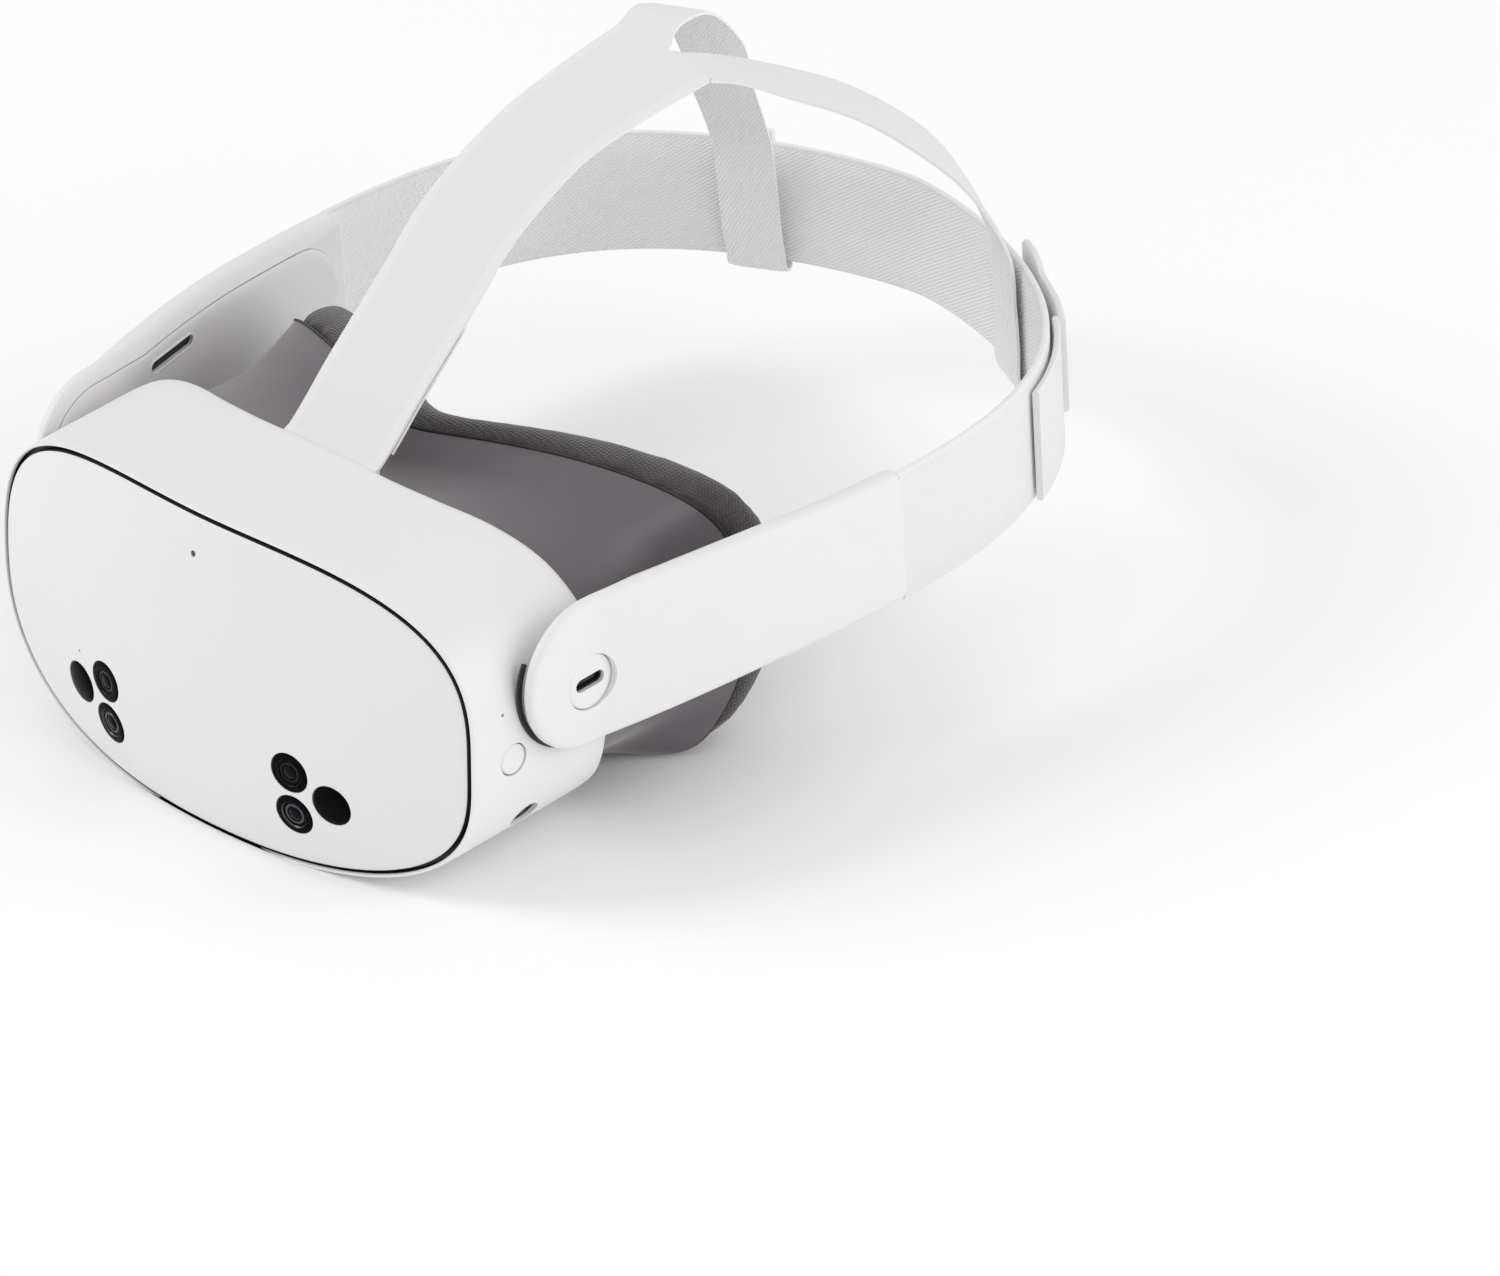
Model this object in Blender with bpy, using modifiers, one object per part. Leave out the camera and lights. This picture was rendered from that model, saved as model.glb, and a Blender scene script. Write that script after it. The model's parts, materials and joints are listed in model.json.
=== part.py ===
"""Standalone VR headset: visor, optics, electronics, facial interface and head strap.

Frame: X across the face (+X is the wearer's left), +Y towards the back of the head,
+Z up. Numbers are in millimetres with heights measured from the middle of the face;
build_mesh() turns them into metres and lifts them so that the headset rests on Z = 0.
"""
import math

import bmesh
import bpy
import numpy as np
from mathutils import Matrix, Vector

# ---------------------------------------------------------------- driving dimensions
MM = 0.001
LIFT = 47.0                # middle of the face above the resting surface
GAP = 0.3                  # clearance between touching pieces

FACE_HALF_WIDTH = 92.0
FACE_TOP = 48.7
FACE_BOTTOM = 46.8
FACE_POWER = 2.92          # exponent of the superellipse outline
FACE_BULGE = 18.2          # how far the middle stands in front of the sides
FACE_CURL = 6.05           # how far top and bottom fall back
FACE_TILT = 3.3            # lean of the whole face
SEGMENTS = 48              # points round the visor
# rear edge of the visor: degrees above the middle, y
REAR_KEYS = [(-90, 55), (-60, 57.5), (-40, 57), (-20, 53), (0, 52), (30, 50), (45, 48.5),
             (60, 45), (72, 41), (80, 39.3), (90, 39)]

PLATE_THICKNESS = 2.2
SHELL_WALL = 2.2
CAMERA_RADIUS = 6.0
CAMERA_PLACES = {"upper": (36.6, -15.5), "lower": (36.6, -29.2)}
INFRARED_PLACE = (49.8, -22.0)
SIDE_CAMERA_PLACE = (22.8, -26.5)
SIDE_CAMERA_RADIUS = 4.2
LED_HEIGHT = 38.0
LED_RADIUS = 0.7

PIVOT_Y = 40.0
PIVOT_Z = 12.0
HUB_RADIUS = 9.0
POWER_BUTTON_PLACE = (15.0, -3.0)
POWER_BUTTON_RADIUS = 4.6
POWER_BUTTON_X = 93.4
VOLUME_X = 36.0
VOLUME_SIZE = (22.0, 5.0, 4.0)
ACTION_X = -42.0
ACTION_RADIUS = 4.0
BOTTOM_KEY_Y = 24.0
BOTTOM_KEY_Z = -44.2

LENS_SPACING = 63.0
LENS_RADIUS = 21.5
BARREL_RADIUS = 24.0
LENS_PLANE_Y = 35.2        # front of the lens rims and of the panel round them
RAIL_Y = 26.0
RAIL_Z = 29.5
RAIL_RADIUS = 1.5

MID_FRAME_Y = 11.0
MID_FRAME_THICKNESS = 2.4
POST_PLACES = {"1": (66.0, 21.0), "2": (-66.0, 21.0), "3": (66.0, -20.0), "4": (-66.0, -20.0)}
POST_END_Y = 34.0
POST_BORE = 1.7
FAN_CENTRE = (0.0, -3.6, -20.0)
FAN_BLADES = 9
FAN_BLADE_RING = 10.0      # radius of the middle of the blades
ROTOR_Y = -4.2

ARM_FRONT_Y = 40.0         # centre of the arm's round front end
ARM_FRONT_Z = 14.5
ARM_FRONT_RADIUS = 22.2
ARM_END_Y = 146.0
ARM_THICKNESS = 9.0
ARM_CLEAR_X = 94.4         # inner face beside the visor
ARM_RISE = 24.0            # length over which the round front blends into the strap's height
COVER_THICKNESS = 1.8
COVER_INSET = 4.0          # cover plate inside the arm's outline
SPEAKER_Y = 70.5
SPEAKER_SLOT = (20.0, 2.7)
SPEAKER_SLOT_Z = 27.6
SIDES = (("left", 1), ("right", -1))

STRAP_START_Y = 42.3
STRAP_DEPTH = 230.6
STRAP_HALF_WIDTH = 99.2
STRAP_THICKNESS = 2.4
TOP_STRAP_HALF_WIDTH = 18.0
SLIDER_X = (47.0, 79.0)    # ends of each strap slider
TAIL_Y = (205.0, 246.0)    # ends of each doubled-back strap end
SLIDER_DROP = 4.0          # slider's top edge below the strap's
TAIL_DROP = 3.2            # doubled-back end's top edge below the strap's
HOOK_LIFT = 2.4            # hook's top above the strap's
HOOK_LENGTH = 9.0
TOP_STRAP_THICKNESS = 1.6
# middle of the top strap's stem: station, y, z
TOP_STRAP_KEYS = [(0, 43.6, 47.6), (1, 50, 53.0), (2, 60, 62), (3, 82, 80), (4, 99, 94), (5, 125, 106),
                  (6, 149, 110.4), (7, 176, 112.8)]
STEM_ROLL = 0.15           # turn of the stem's end about its own length
# branches: station, middle (distance from the centre plane, y, z), direction of their outer edge;
# the right one arches higher over the crown
LEFT_BRANCH_KEYS = [(0, 9.0, 176, 111.4, 1, 0, -0.15), (1, 11, 187, 107.0, 1, -0.05, -0.2),
                    (2, 15, 200.5, 99.5, 0.95, -0.17, -0.25), (3, 25.5, 225.5, 83.5, 0.88, -0.44, -0.2),
                    (4, 39, 244.5, 62.5, 0.87, -0.41, -0.28), (5, 48.3, 253.8, 38, 0.9, -0.42, -0.1),
                    (6, 50.0, 254.8, 18, 0.9, -0.45, 0), (7, 50.2, 255.1, 4, 0.9, -0.45, 0)]
RIGHT_BRANCH_KEYS = [(0, 9.0, 176, 114.2, 1, 0, 0.15), (1, 11.5, 187, 116.2, 1, -0.05, 0),
                     (2, 17, 202, 108.5, 0.95, -0.2, -0.2), (3, 28, 221, 85.5, 0.85, -0.35, -0.4),
                     (4, 41, 236.5, 62, 0.88, -0.38, -0.3), (5, 48, 249.4, 36, 0.9, -0.42, -0.1),
                     (6, 49.5, 252.4, 18, 0.9, -0.45, 0), (7, 50.0, 253.6, 4, 0.9, -0.45, 0)]
# the branch's last stretch round the back strap: distance outside its outer face, height
WRAP = [(-4.8, -4.5), (-4.0, -8.6), (-1.4, -10.6), (1.0, -9.6), (1.35, -6.0), (1.35, 2.0), (1.35, 9.0)]
WRAP_ANCHOR = (52.0, 259.0)
WRAP_OUTWARD = (0.423, 0.906)

# rear outer edge of the cushion on the +X half, from the nose (-1) past the side (0)
# to the brow (1): parameter, x, y, z
CUSHION_KEYS = [(-1.0, 0, 66, -24), (-0.93, 11, 68, -31), (-0.84, 22, 75, -43), (-0.74, 42, 90, -46.6),
                (-0.64, 62, 100, -46.6), (-0.52, 79, 111, -45.2), (-0.4, 82, 122, -36), (-0.2, 85.5, 128, -18),
                (0.0, 86, 129, 0), (0.2, 84.5, 125.5, 19), (0.4, 78, 116.5, 33), (0.6, 58, 107, 40.2),
                (0.8, 32, 97.5, 42.2), (1.0, 0, 83, 43)]
CUSHION_CENTRE_Z = -2.0
CUSHION_DEPTH = 16.9       # cushion's rear edge to the facial frame
FRAME_INSET = 3.0          # facial frame inside the visor's outline
STRAP_ROOM = 2.4           # further inset of the frame's upper half, under the top strap's anchor
FRAME_WALL = 2.0
LOWER_PINCH = 0.42         # share of the frame's waist that its lower half keeps

WHITE = (0.80, 0.79, 0.80, 1.0)
STRAP_WHITE = (0.84, 0.83, 0.84, 1.0)
BLACK = (0.012, 0.012, 0.014, 1.0)
DARK_GREY = (0.10, 0.095, 0.10, 1.0)
FOAM_GREY = (0.065, 0.06, 0.065, 1.0)
METAL = (0.55, 0.55, 0.56, 1.0)
BOARD_GREEN = (0.02, 0.09, 0.04, 1.0)


# ---------------------------------------------------------------- scene and materials
def clear_scene():
    for obj in list(bpy.data.objects):
        bpy.data.objects.remove(obj, do_unlink=True)


def new_collection(name):
    collection = bpy.data.collections.new(name)
    bpy.context.scene.collection.children.link(collection)
    return collection


clear_scene()
PARTS = new_collection("vr_headset")
CUTTERS = new_collection("cutters")


def part_material(name, look):
    """Material from a (colour, roughness, metallic) look."""
    material = bpy.data.materials.new(name)
    material.use_nodes = True
    shader = material.node_tree.nodes["Principled BSDF"]
    for socket, value in zip(("Base Color", "Roughness", "Metallic"), look):
        shader.inputs[socket].default_value = value
    return material


SATIN_WHITE = (WHITE, 0.45, 0.0)
SOFT_WHITE = (STRAP_WHITE, 0.7, 0.0)
GLOSS_BLACK = (BLACK, 0.08, 0.0)
MATTE_BLACK = (BLACK, 0.5, 0.0)
MATTE_GREY = (DARK_GREY, 0.55, 0.0)
KNIT_GREY = (FOAM_GREY, 0.9, 0.0)
BARE_METAL = (METAL, 0.3, 1.0)
CIRCUIT = (BOARD_GREEN, 0.4, 0.0)
CLEAR_GLASS = ((0.75, 0.8, 0.85, 1.0), 0.03, 0.0)


# ---------------------------------------------------------------- mesh helpers
def lifted(point):
    """Metres above the resting surface, from millimetres about the middle of the face."""
    x, y, z = point
    return Vector((x * MM, y * MM, (z + LIFT) * MM))


def add_object(name, mesh, look, collection=None):
    """Object for a mesh in the parts or another collection, shaded by its edges' angles."""
    obj = bpy.data.objects.new(name, mesh)
    (collection or PARTS).objects.link(obj)
    if look:
        mesh.materials.append(part_material(name, look))
    mesh.shade_smooth()
    mesh.set_sharp_from_angle(angle=math.radians(35))
    return obj


def build_mesh(name, points, faces, look, collection=None):
    """Makes an object from millimetre points, with its faces turned outward."""
    mesh = bpy.data.meshes.new(name)
    mesh.from_pydata([lifted(point) for point in points], [], faces)
    bm = bmesh.new()
    bm.from_mesh(mesh)
    bmesh.ops.recalc_face_normals(bm, faces=bm.faces)
    bm.to_mesh(mesh)
    bm.free()
    return add_object(name, mesh, look, collection)


def loft(name, rings, look, poles=(None, None), cyclic=False, collection=None):
    """Joins rings of equal length; each end is a fan to its pole, or one flat face."""
    count = len(rings[0])
    points = [point for ring in rings for point in ring]
    faces = []
    spans = len(rings) if cyclic else len(rings) - 1
    for i in range(spans):
        a = i * count
        b = ((i + 1) % len(rings)) * count
        for j in range(count):
            k = (j + 1) % count
            faces.append((a + j, a + k, b + k, b + j))
    if not cyclic:
        for pole, start in ((poles[0], 0), (poles[1], (len(rings) - 1) * count)):
            ring = [start + j for j in range(count)]
            if pole is None:
                faces.append(tuple(ring))
                continue
            points.append(pole)
            tip = len(points) - 1
            for j in range(count):
                faces.append((ring[j], ring[(j + 1) % count], tip))
    return build_mesh(name, points, faces, look, collection)


def stand(obj, centre, axis):
    """Places an object at a centre with its local Z along an axis."""
    obj.location = lifted(centre)
    obj.rotation_euler = Vector((0, 0, 1)).rotation_difference(Vector(axis)).to_euler()


def screw_profile(name, loop, closed, look, steps, collection):
    """Turns (radius, height) points, which run down the outer side, about the local Z."""
    mesh = bpy.data.meshes.new(name)
    count = len(loop)
    edges = [(k, k + 1) for k in range(count - 1)]
    if closed:
        edges.append((count - 1, 0))
    mesh.from_pydata([(radius * MM, 0, height * MM) for radius, height in loop], edges, [])
    profile = bpy.data.objects.new(name + "_profile", mesh)
    bpy.context.scene.collection.objects.link(profile)
    screw = profile.modifiers.new("turn", "SCREW")
    screw.steps = steps
    screw.render_steps = steps
    screw.use_merge_vertices = True
    screw.merge_threshold = 0.00001
    graph = bpy.context.evaluated_depsgraph_get()
    body = bpy.data.meshes.new_from_object(profile.evaluated_get(graph))
    bpy.data.objects.remove(profile, do_unlink=True)
    body.name = name
    return add_object(name, body, look, collection)


def turned(name, centre, axis, profile, look, steps=24, collection=None):
    """Solid of revolution: (radius, height) pairs go up its outer side, and both ends are closed."""
    loop = [(0.0, profile[0][1]), *profile, (0.0, profile[-1][1])]
    obj = screw_profile(name, loop[::-1], False, look, steps, collection)
    stand(obj, centre, axis)
    return obj


def tube(name, centre, axis, profile, look, steps=24, collection=None):
    """Hollow body of revolution: the profile is a closed loop that goes up its outer side."""
    obj = screw_profile(name, profile[::-1], True, look, steps, collection)
    stand(obj, centre, axis)
    return obj


def cylinder(name, centre, axis, radius, length, look, steps=24, collection=None):
    """Solid cylinder centred on a point."""
    bm = bmesh.new()
    bmesh.ops.create_cone(bm, cap_ends=True, segments=steps, radius1=radius * MM, radius2=radius * MM,
                          depth=length * MM)
    mesh = bpy.data.meshes.new(name)
    bm.to_mesh(mesh)
    bm.free()
    obj = add_object(name, mesh, look, collection)
    stand(obj, centre, axis)
    return obj


def box(name, centre, size, look, bevel=0.0, collection=None):
    """Box from its centre and full size, with an optional rounded edge."""
    bm = bmesh.new()
    bmesh.ops.create_cube(bm, size=MM, matrix=Matrix.Diagonal((*size, 1.0)))
    mesh = bpy.data.meshes.new(name)
    bm.to_mesh(mesh)
    bm.free()
    obj = add_object(name, mesh, look, collection)
    obj.location = lifted(centre)
    if bevel:
        modifier = obj.modifiers.new("edges", "BEVEL")
        modifier.width = bevel * MM
        modifier.segments = 2
    return obj


def cut(target, cutter, operation="DIFFERENCE"):
    """Adds a Boolean with a cutter that stays out of the model."""
    cutter.hide_render = True
    cutter.display_type = "WIRE"
    modifier = target.modifiers.new("cut", "BOOLEAN")
    modifier.operation = operation
    modifier.solver = "EXACT"
    modifier.object = cutter


def cut_round(target, centre, axis, radius, length, steps=24):
    name = target.name + "_hole"
    cut(target, cylinder(name, centre, axis, radius, length, None, steps, CUTTERS))


def cut_box(target, centre, size):
    cut(target, box(target.name + "_slot", centre, size, None, 0.0, CUTTERS))


def place_origin(obj, point):
    """Moves the object's origin to a point in millimetres, leaving the shape in place."""
    origin = lifted(point)
    obj.data.transform(Matrix.Translation(-(obj.matrix_basis.inverted() @ origin)))
    obj.location = origin


def smooth_keys(keys, value):
    """Smooth curve through (parameter, numbers...) keys, read at one parameter."""
    table = np.array(keys, dtype=float)
    params = table[:, 0]
    slopes = np.gradient(table[:, 1:], params, axis=0)
    i = int(np.clip(np.searchsorted(params, value) - 1, 0, len(params) - 2))
    width = params[i + 1] - params[i]
    s = (value - params[i]) / width
    start = (2 * s ** 3 - 3 * s ** 2 + 1) * table[i, 1:]
    end = (-2 * s ** 3 + 3 * s ** 2) * table[i + 1, 1:]
    lean = (s ** 3 - 2 * s ** 2 + s) * slopes[i] + (s ** 3 - s ** 2) * slopes[i + 1]
    return start + end + lean * width


# ---------------------------------------------------------------- the visor's form
def outline(angle, grow=0.0):
    """Point (x, z) on the face outline, grown outward, with a flat underside."""
    c = math.cos(angle)
    s = math.sin(angle)
    power = 2 / FACE_POWER
    height = FACE_TOP if s >= 0 else FACE_BOTTOM
    x = (FACE_HALF_WIDTH + grow) * math.copysign(abs(c) ** power, c)
    z = (height + grow) * math.copysign(abs(s) ** power, s)
    return x, max(z, -LIFT - min(0.0, grow))


def even_angles():
    """Angles that space the outline's points evenly within each quarter."""
    angles = []
    per_quarter = SEGMENTS // 4
    for quarter in range(4):
        dense = np.linspace(quarter, quarter + 1, 400) * math.pi / 2
        points = np.array([outline(a) for a in dense])
        steps = np.hypot(*np.diff(points, axis=0).T)
        length = np.concatenate([[0], np.cumsum(steps)])
        for k in range(per_quarter):
            angles.append(float(np.interp(length[-1] * k / per_quarter, length, dense)))
    return angles


ANGLES = even_angles()


def face_y(x, z):
    """Front surface of the visor's face."""
    curl = FACE_CURL * (z / 47.0) ** 2 + FACE_TILT * z / 47.0
    return -FACE_BULGE * (1 - (x / FACE_HALF_WIDTH) ** 2) + curl


def rear_y(angle):
    """Rear edge of the visor shell, measured round the outline."""
    turn = math.degrees(math.asin(math.sin(angle)))
    return float(smooth_keys(REAR_KEYS, turn)[0])


def visor_ring(grow, from_front=None, from_rear=None):
    """Ring round the visor at a distance behind the face or ahead of the rear edge."""
    ring = []
    for angle in ANGLES:
        x, z = outline(angle, grow)
        edge_x, edge_z = outline(angle)
        if from_front is not None:
            y = face_y(edge_x, edge_z) + from_front
        else:
            y = rear_y(angle) - from_rear
        ring.append((x, y, z))
    return ring


def visor_middle_ring(grow, share):
    """Ring part of the way from the face to the rear edge."""
    front = visor_ring(grow, from_front=0.0)
    rear = visor_ring(grow, from_rear=0.0)
    return [(a[0], a[1] + (b[1] - a[1]) * share, a[2]) for a, b in zip(front, rear)]


def face_disc(name, grow, front, back, look):
    """Plate that follows the face, between two depths behind its surface."""
    scales = (0.35, 0.7, 1.0)

    def ring(scale, depth):
        points = [outline(angle, grow) for angle in ANGLES]
        return [(x * scale, face_y(x * scale, z * scale) + depth, z * scale) for x, z in points]

    rings = [ring(scale, front) for scale in scales]
    rings += [ring(scale, back) for scale in reversed(scales)]
    centre = face_y(0, 0)
    return loft(name, rings, look, poles=((0, centre + front, 0), (0, centre + back, 0)))


def flat_disc(name, grow, front, back, look):
    """Flat plate that fills the visor's section between two y planes."""
    points = [outline(angle, grow) for angle in ANGLES]
    rings = [[(x, y, z) for x, z in points] for y in (front, back)]
    return loft(name, rings, look)


# ---------------------------------------------------------------- visor housings
def shell_normal(y_place, z_place):
    """Point and outward direction on the visor's +X side at a height."""
    ratio = abs(z_place) / FACE_BOTTOM
    x = (FACE_HALF_WIDTH + 1.4) * (1 - ratio ** FACE_POWER) ** (1 / FACE_POWER)
    slope_x = (x / FACE_HALF_WIDTH) ** (FACE_POWER - 1) / FACE_HALF_WIDTH
    slope_z = ratio ** (FACE_POWER - 1) / FACE_BOTTOM
    direction = Vector((slope_x, 0, math.copysign(slope_z, z_place))).normalized()
    return (x, y_place, z_place), tuple(direction)


def mirrored(point):
    return (-point[0], point[1], point[2])


def visor_shell():
    """Open shell round the visor: rim, sides, rear edge, inner wall and ledge."""
    lip_depth = PLATE_THICKNESS + 2.2
    rings = [
        visor_ring(0.5, from_front=0.5),
        visor_ring(0.9, from_front=-0.1),
        visor_ring(1.4, from_front=0.7),
        visor_middle_ring(1.7, 0.33),
        visor_middle_ring(1.7, 0.66),
        visor_ring(1.3, from_rear=5.0),
        visor_ring(0.5, from_rear=1.2),
        visor_ring(-0.6, from_rear=0.0),
        visor_ring(-2.4, from_rear=0.8),
        visor_ring(-SHELL_WALL + 0.9, from_rear=6.0),
        visor_middle_ring(-SHELL_WALL + 1.4, 0.4),
        visor_ring(-SHELL_WALL + 1.0, from_front=lip_depth + 0.6),
        visor_ring(0.4, from_front=lip_depth + 0.2),
    ]
    shell = loft("visor_shell", rings, SATIN_WHITE, cyclic=True)
    place, direction = shell_normal(*SIDE_CAMERA_PLACE)
    cut_round(shell, place, direction, SIDE_CAMERA_RADIUS + GAP, 12)
    cut_round(shell, mirrored(place), mirrored(direction), SIDE_CAMERA_RADIUS + GAP, 12)
    for side in (-1, 1):
        cut_round(shell, (side * 92, PIVOT_Y, PIVOT_Z), (1, 0, 0), 5.8, 14)
    button_y, button_z = POWER_BUTTON_PLACE
    cut_round(shell, (92, button_y, button_z), (1, 0, 0), POWER_BUTTON_RADIUS + GAP, 14)
    width, depth, height = VOLUME_SIZE
    cut_box(shell, (VOLUME_X, BOTTOM_KEY_Y, BOTTOM_KEY_Z), (width + 2 * GAP, depth + 2 * GAP, 3 * height))
    cut_round(shell, (ACTION_X, BOTTOM_KEY_Y, BOTTOM_KEY_Z), (0, 0, 1), ACTION_RADIUS + GAP, 12)
    return shell


def faceplate():
    plate = face_disc("faceplate", -0.7, 0.0, PLATE_THICKNESS, SATIN_WHITE)
    spots = [(x, z) for x, z in CAMERA_PLACES.values()] + [INFRARED_PLACE]
    for x, z in spots:
        for side in (-1, 1):
            cut_round(plate, (side * x, face_y(x, z), z), (0, 1, 0), CAMERA_RADIUS + GAP, 12, 20)
    cut_round(plate, (0, face_y(0, LED_HEIGHT), LED_HEIGHT), (0, 1, 0), LED_RADIUS + GAP, 12, 12)
    return plate


def faceplate_gasket():
    """Dark seal at the foot of the groove round the face."""
    near = PLATE_THICKNESS + GAP
    far = near + 1.5
    rings = [visor_ring(-3.6, from_front=near), visor_ring(0.1, from_front=near),
             visor_ring(0.1, from_front=far), visor_ring(-3.6, from_front=far)]
    return loft("faceplate_gasket", rings, MATTE_BLACK, cyclic=True)


def mid_frame():
    """Bulkhead that carries the display, the lens rail and the screw posts."""
    frame = flat_disc("mid_frame", -4.0, MID_FRAME_Y, MID_FRAME_Y + MID_FRAME_THICKNESS, MATTE_BLACK)
    cut_box(frame, (0, MID_FRAME_Y, 0), (112, 12, 50))
    length = POST_END_Y - MID_FRAME_Y - 1
    for x, z in POST_PLACES.values():
        centre = (x, POST_END_Y - length / 2, z)
        post = tube("post", centre, (0, 1, 0),
                    [(POST_BORE, -length / 2), (4.0, -length / 2), (4.0, length / 2), (POST_BORE, length / 2)],
                    None, 12, CUTTERS)
        cut(frame, post, "UNION")
    return frame


def inner_housing():
    """Rear panel behind the lenses, with a round window for each eye."""
    centre = LENS_PLANE_Y

    def ring(scale, depth):
        points = []
        for angle in ANGLES:
            x, z = outline(angle, -7.6)
            y = centre if scale < 1 else rear_y(angle) - 9.0
            points.append((x * scale, y + depth, z * scale))
        return points

    scales = (0.5, 0.93, 1.0)
    rings = [ring(scale, 0.0) for scale in scales] + [ring(scale, 2.0) for scale in reversed(scales)]
    panel = loft("inner_housing", rings, MATTE_GREY, poles=((0, centre, 0), (0, centre + 2, 0)))
    for side in (-1, 1):
        cut_round(panel, (side * LENS_SPACING / 2, centre, 0), (0, 1, 0), BARREL_RADIUS + 4.0, 30, 32)
    for x, z in POST_PLACES.values():
        cut_round(panel, (x, centre, z), (0, 1, 0), POST_BORE, 30, 12)
    return panel


def housing_screws():
    """Self-tapping screws that hold the rear panel on the posts."""
    for number, (x, z) in POST_PLACES.items():
        seat = LENS_PLANE_Y + 2.0 + GAP
        profile = [(0.8, -13), (1.3, -12), (1.3, 0), (2.6, 0), (2.6, 1.6), (1.8, 2.0)]
        turned("housing_screw_" + number, (x, seat, z), (0, 1, 0), profile, BARE_METAL, 12)


# ---------------------------------------------------------------- electronics and optics
def display_and_boards():
    box("display_panel", (0, 7.6, 0), (124, 2.6, 60), GLOSS_BLACK)
    box("heat_spreader", (0, 4.6, 0), (118, 0.9, 62), BARE_METAL)
    box("mainboard", (0, 2.6, 0), (112, 1.2, 60), CIRCUIT)
    box("battery", (0, -3.4, 20.5), (72, 7.0, 25), MATTE_BLACK, 1.0)


def cooling_fan():
    """Radial fan between the battery and the camera clusters."""
    profile = [(16.2, -4.0), (17.6, -4.0), (17.6, 4.0), (5.0, 4.0), (5.0, 3.0), (16.2, 3.0)]
    tube("fan_housing", FAN_CENTRE, (0, 1, 0), profile, MATTE_BLACK, 24)
    x, _, z = FAN_CENTRE
    rotor = cylinder("fan_rotor", (x, ROTOR_Y, z), (0, 1, 0), 6.0, 5.8, MATTE_BLACK, 16)
    for k in range(FAN_BLADES):
        angle = 2 * math.pi * k / FAN_BLADES
        spot = (x + FAN_BLADE_RING * math.cos(angle), ROTOR_Y, z + FAN_BLADE_RING * math.sin(angle))
        blade = box("blade", spot, (10.4, 4.8, 0.9), None, 0.0, CUTTERS)
        blade.rotation_euler = (0, -(angle + 0.5), 0)
        cut(rotor, blade, "UNION")


def lens_barrel(side_name, side):
    """Conical barrel from the display to the lens, hung on the rail by a bored lug."""
    x = side * LENS_SPACING / 2
    profile = [(21.0, 15.0), (22.6, 15.0), (BARREL_RADIUS, 38.0), (BARREL_RADIUS, 44.0),
               (LENS_RADIUS + 0.4, 44.0), (LENS_RADIUS + 0.4, 33.0), (21.2, 32.6)]
    barrel = tube("lens_barrel_" + side_name, (x, 0, 0), (0, 1, 0), profile, MATTE_BLACK, 24)
    lug = box("lug", (x, RAIL_Y, 27.6), (14, 7, 10), None, 0.0, CUTTERS)
    cut(barrel, lug, "UNION")
    cut_round(barrel, (x, RAIL_Y, RAIL_Z), (1, 0, 0), RAIL_RADIUS + GAP, 20, 12)
    cut_round(barrel, (x, RAIL_Y, 0), (0, 1, 0), 20.6, 30, 24)
    lens_profile = [(14.0, 33.6), (LENS_RADIUS, LENS_PLANE_Y), (LENS_RADIUS, 38.4), (18.0, 40.6),
                    (13.0, 42.2), (7.0, 43.1)]
    turned("lens_" + side_name, (x, 0, 0), (0, 1, 0), lens_profile, CLEAR_GLASS, 24)


def ipd_rail():
    cylinder("ipd_rail", (0, RAIL_Y, RAIL_Z), (1, 0, 0), RAIL_RADIUS, 118, BARE_METAL, 12)


def camera_set():
    """Front cameras with stepped lens rings, their modules, infrared emitters and side cameras."""
    ring_profile = [(CAMERA_RADIUS, 2.0), (CAMERA_RADIUS, -0.2), (4.3, -0.2), (3.9, 0.3), (2.4, 0.3)]
    for side_name, side in SIDES:
        for level, (x, z) in CAMERA_PLACES.items():
            name = level + "_camera_" + side_name
            spot = (side * x, face_y(x, z) + 0.3, z)
            turned(name + "_lens", spot, (0, 1, 0), ring_profile[::-1], GLOSS_BLACK, 18)
            module_y = face_y(x, z) + PLATE_THICKNESS + 3.4
            box(name + "_module", (side * x, module_y, z), (9, 4, 9), MATTE_BLACK)
        x, z = INFRARED_PLACE
        spot = (side * x, face_y(x, z) + 0.3, z)
        dome = [(2.0, -0.8), (4.4, -0.4), (CAMERA_RADIUS, 0.4), (CAMERA_RADIUS, 2.4)]
        turned("infrared_emitter_" + side_name, spot, (0, 1, 0), dome, GLOSS_BLACK, 18)
        place, direction = shell_normal(*SIDE_CAMERA_PLACE)
        if side < 0:
            place, direction = mirrored(place), mirrored(direction)
        profile = [(SIDE_CAMERA_RADIUS, -6.0), (SIDE_CAMERA_RADIUS, 0.0), (SIDE_CAMERA_RADIUS - 0.5, 0.3),
                   (2.6, 0.3), (2.2, -0.2)]
        turned("side_camera_" + side_name, place, direction, profile, GLOSS_BLACK, 20)
    led_y = face_y(0, LED_HEIGHT)
    cylinder("status_led", (0, led_y + 1.5, LED_HEIGHT), (0, 1, 0), LED_RADIUS, 3.0, GLOSS_BLACK, 10)


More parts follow.
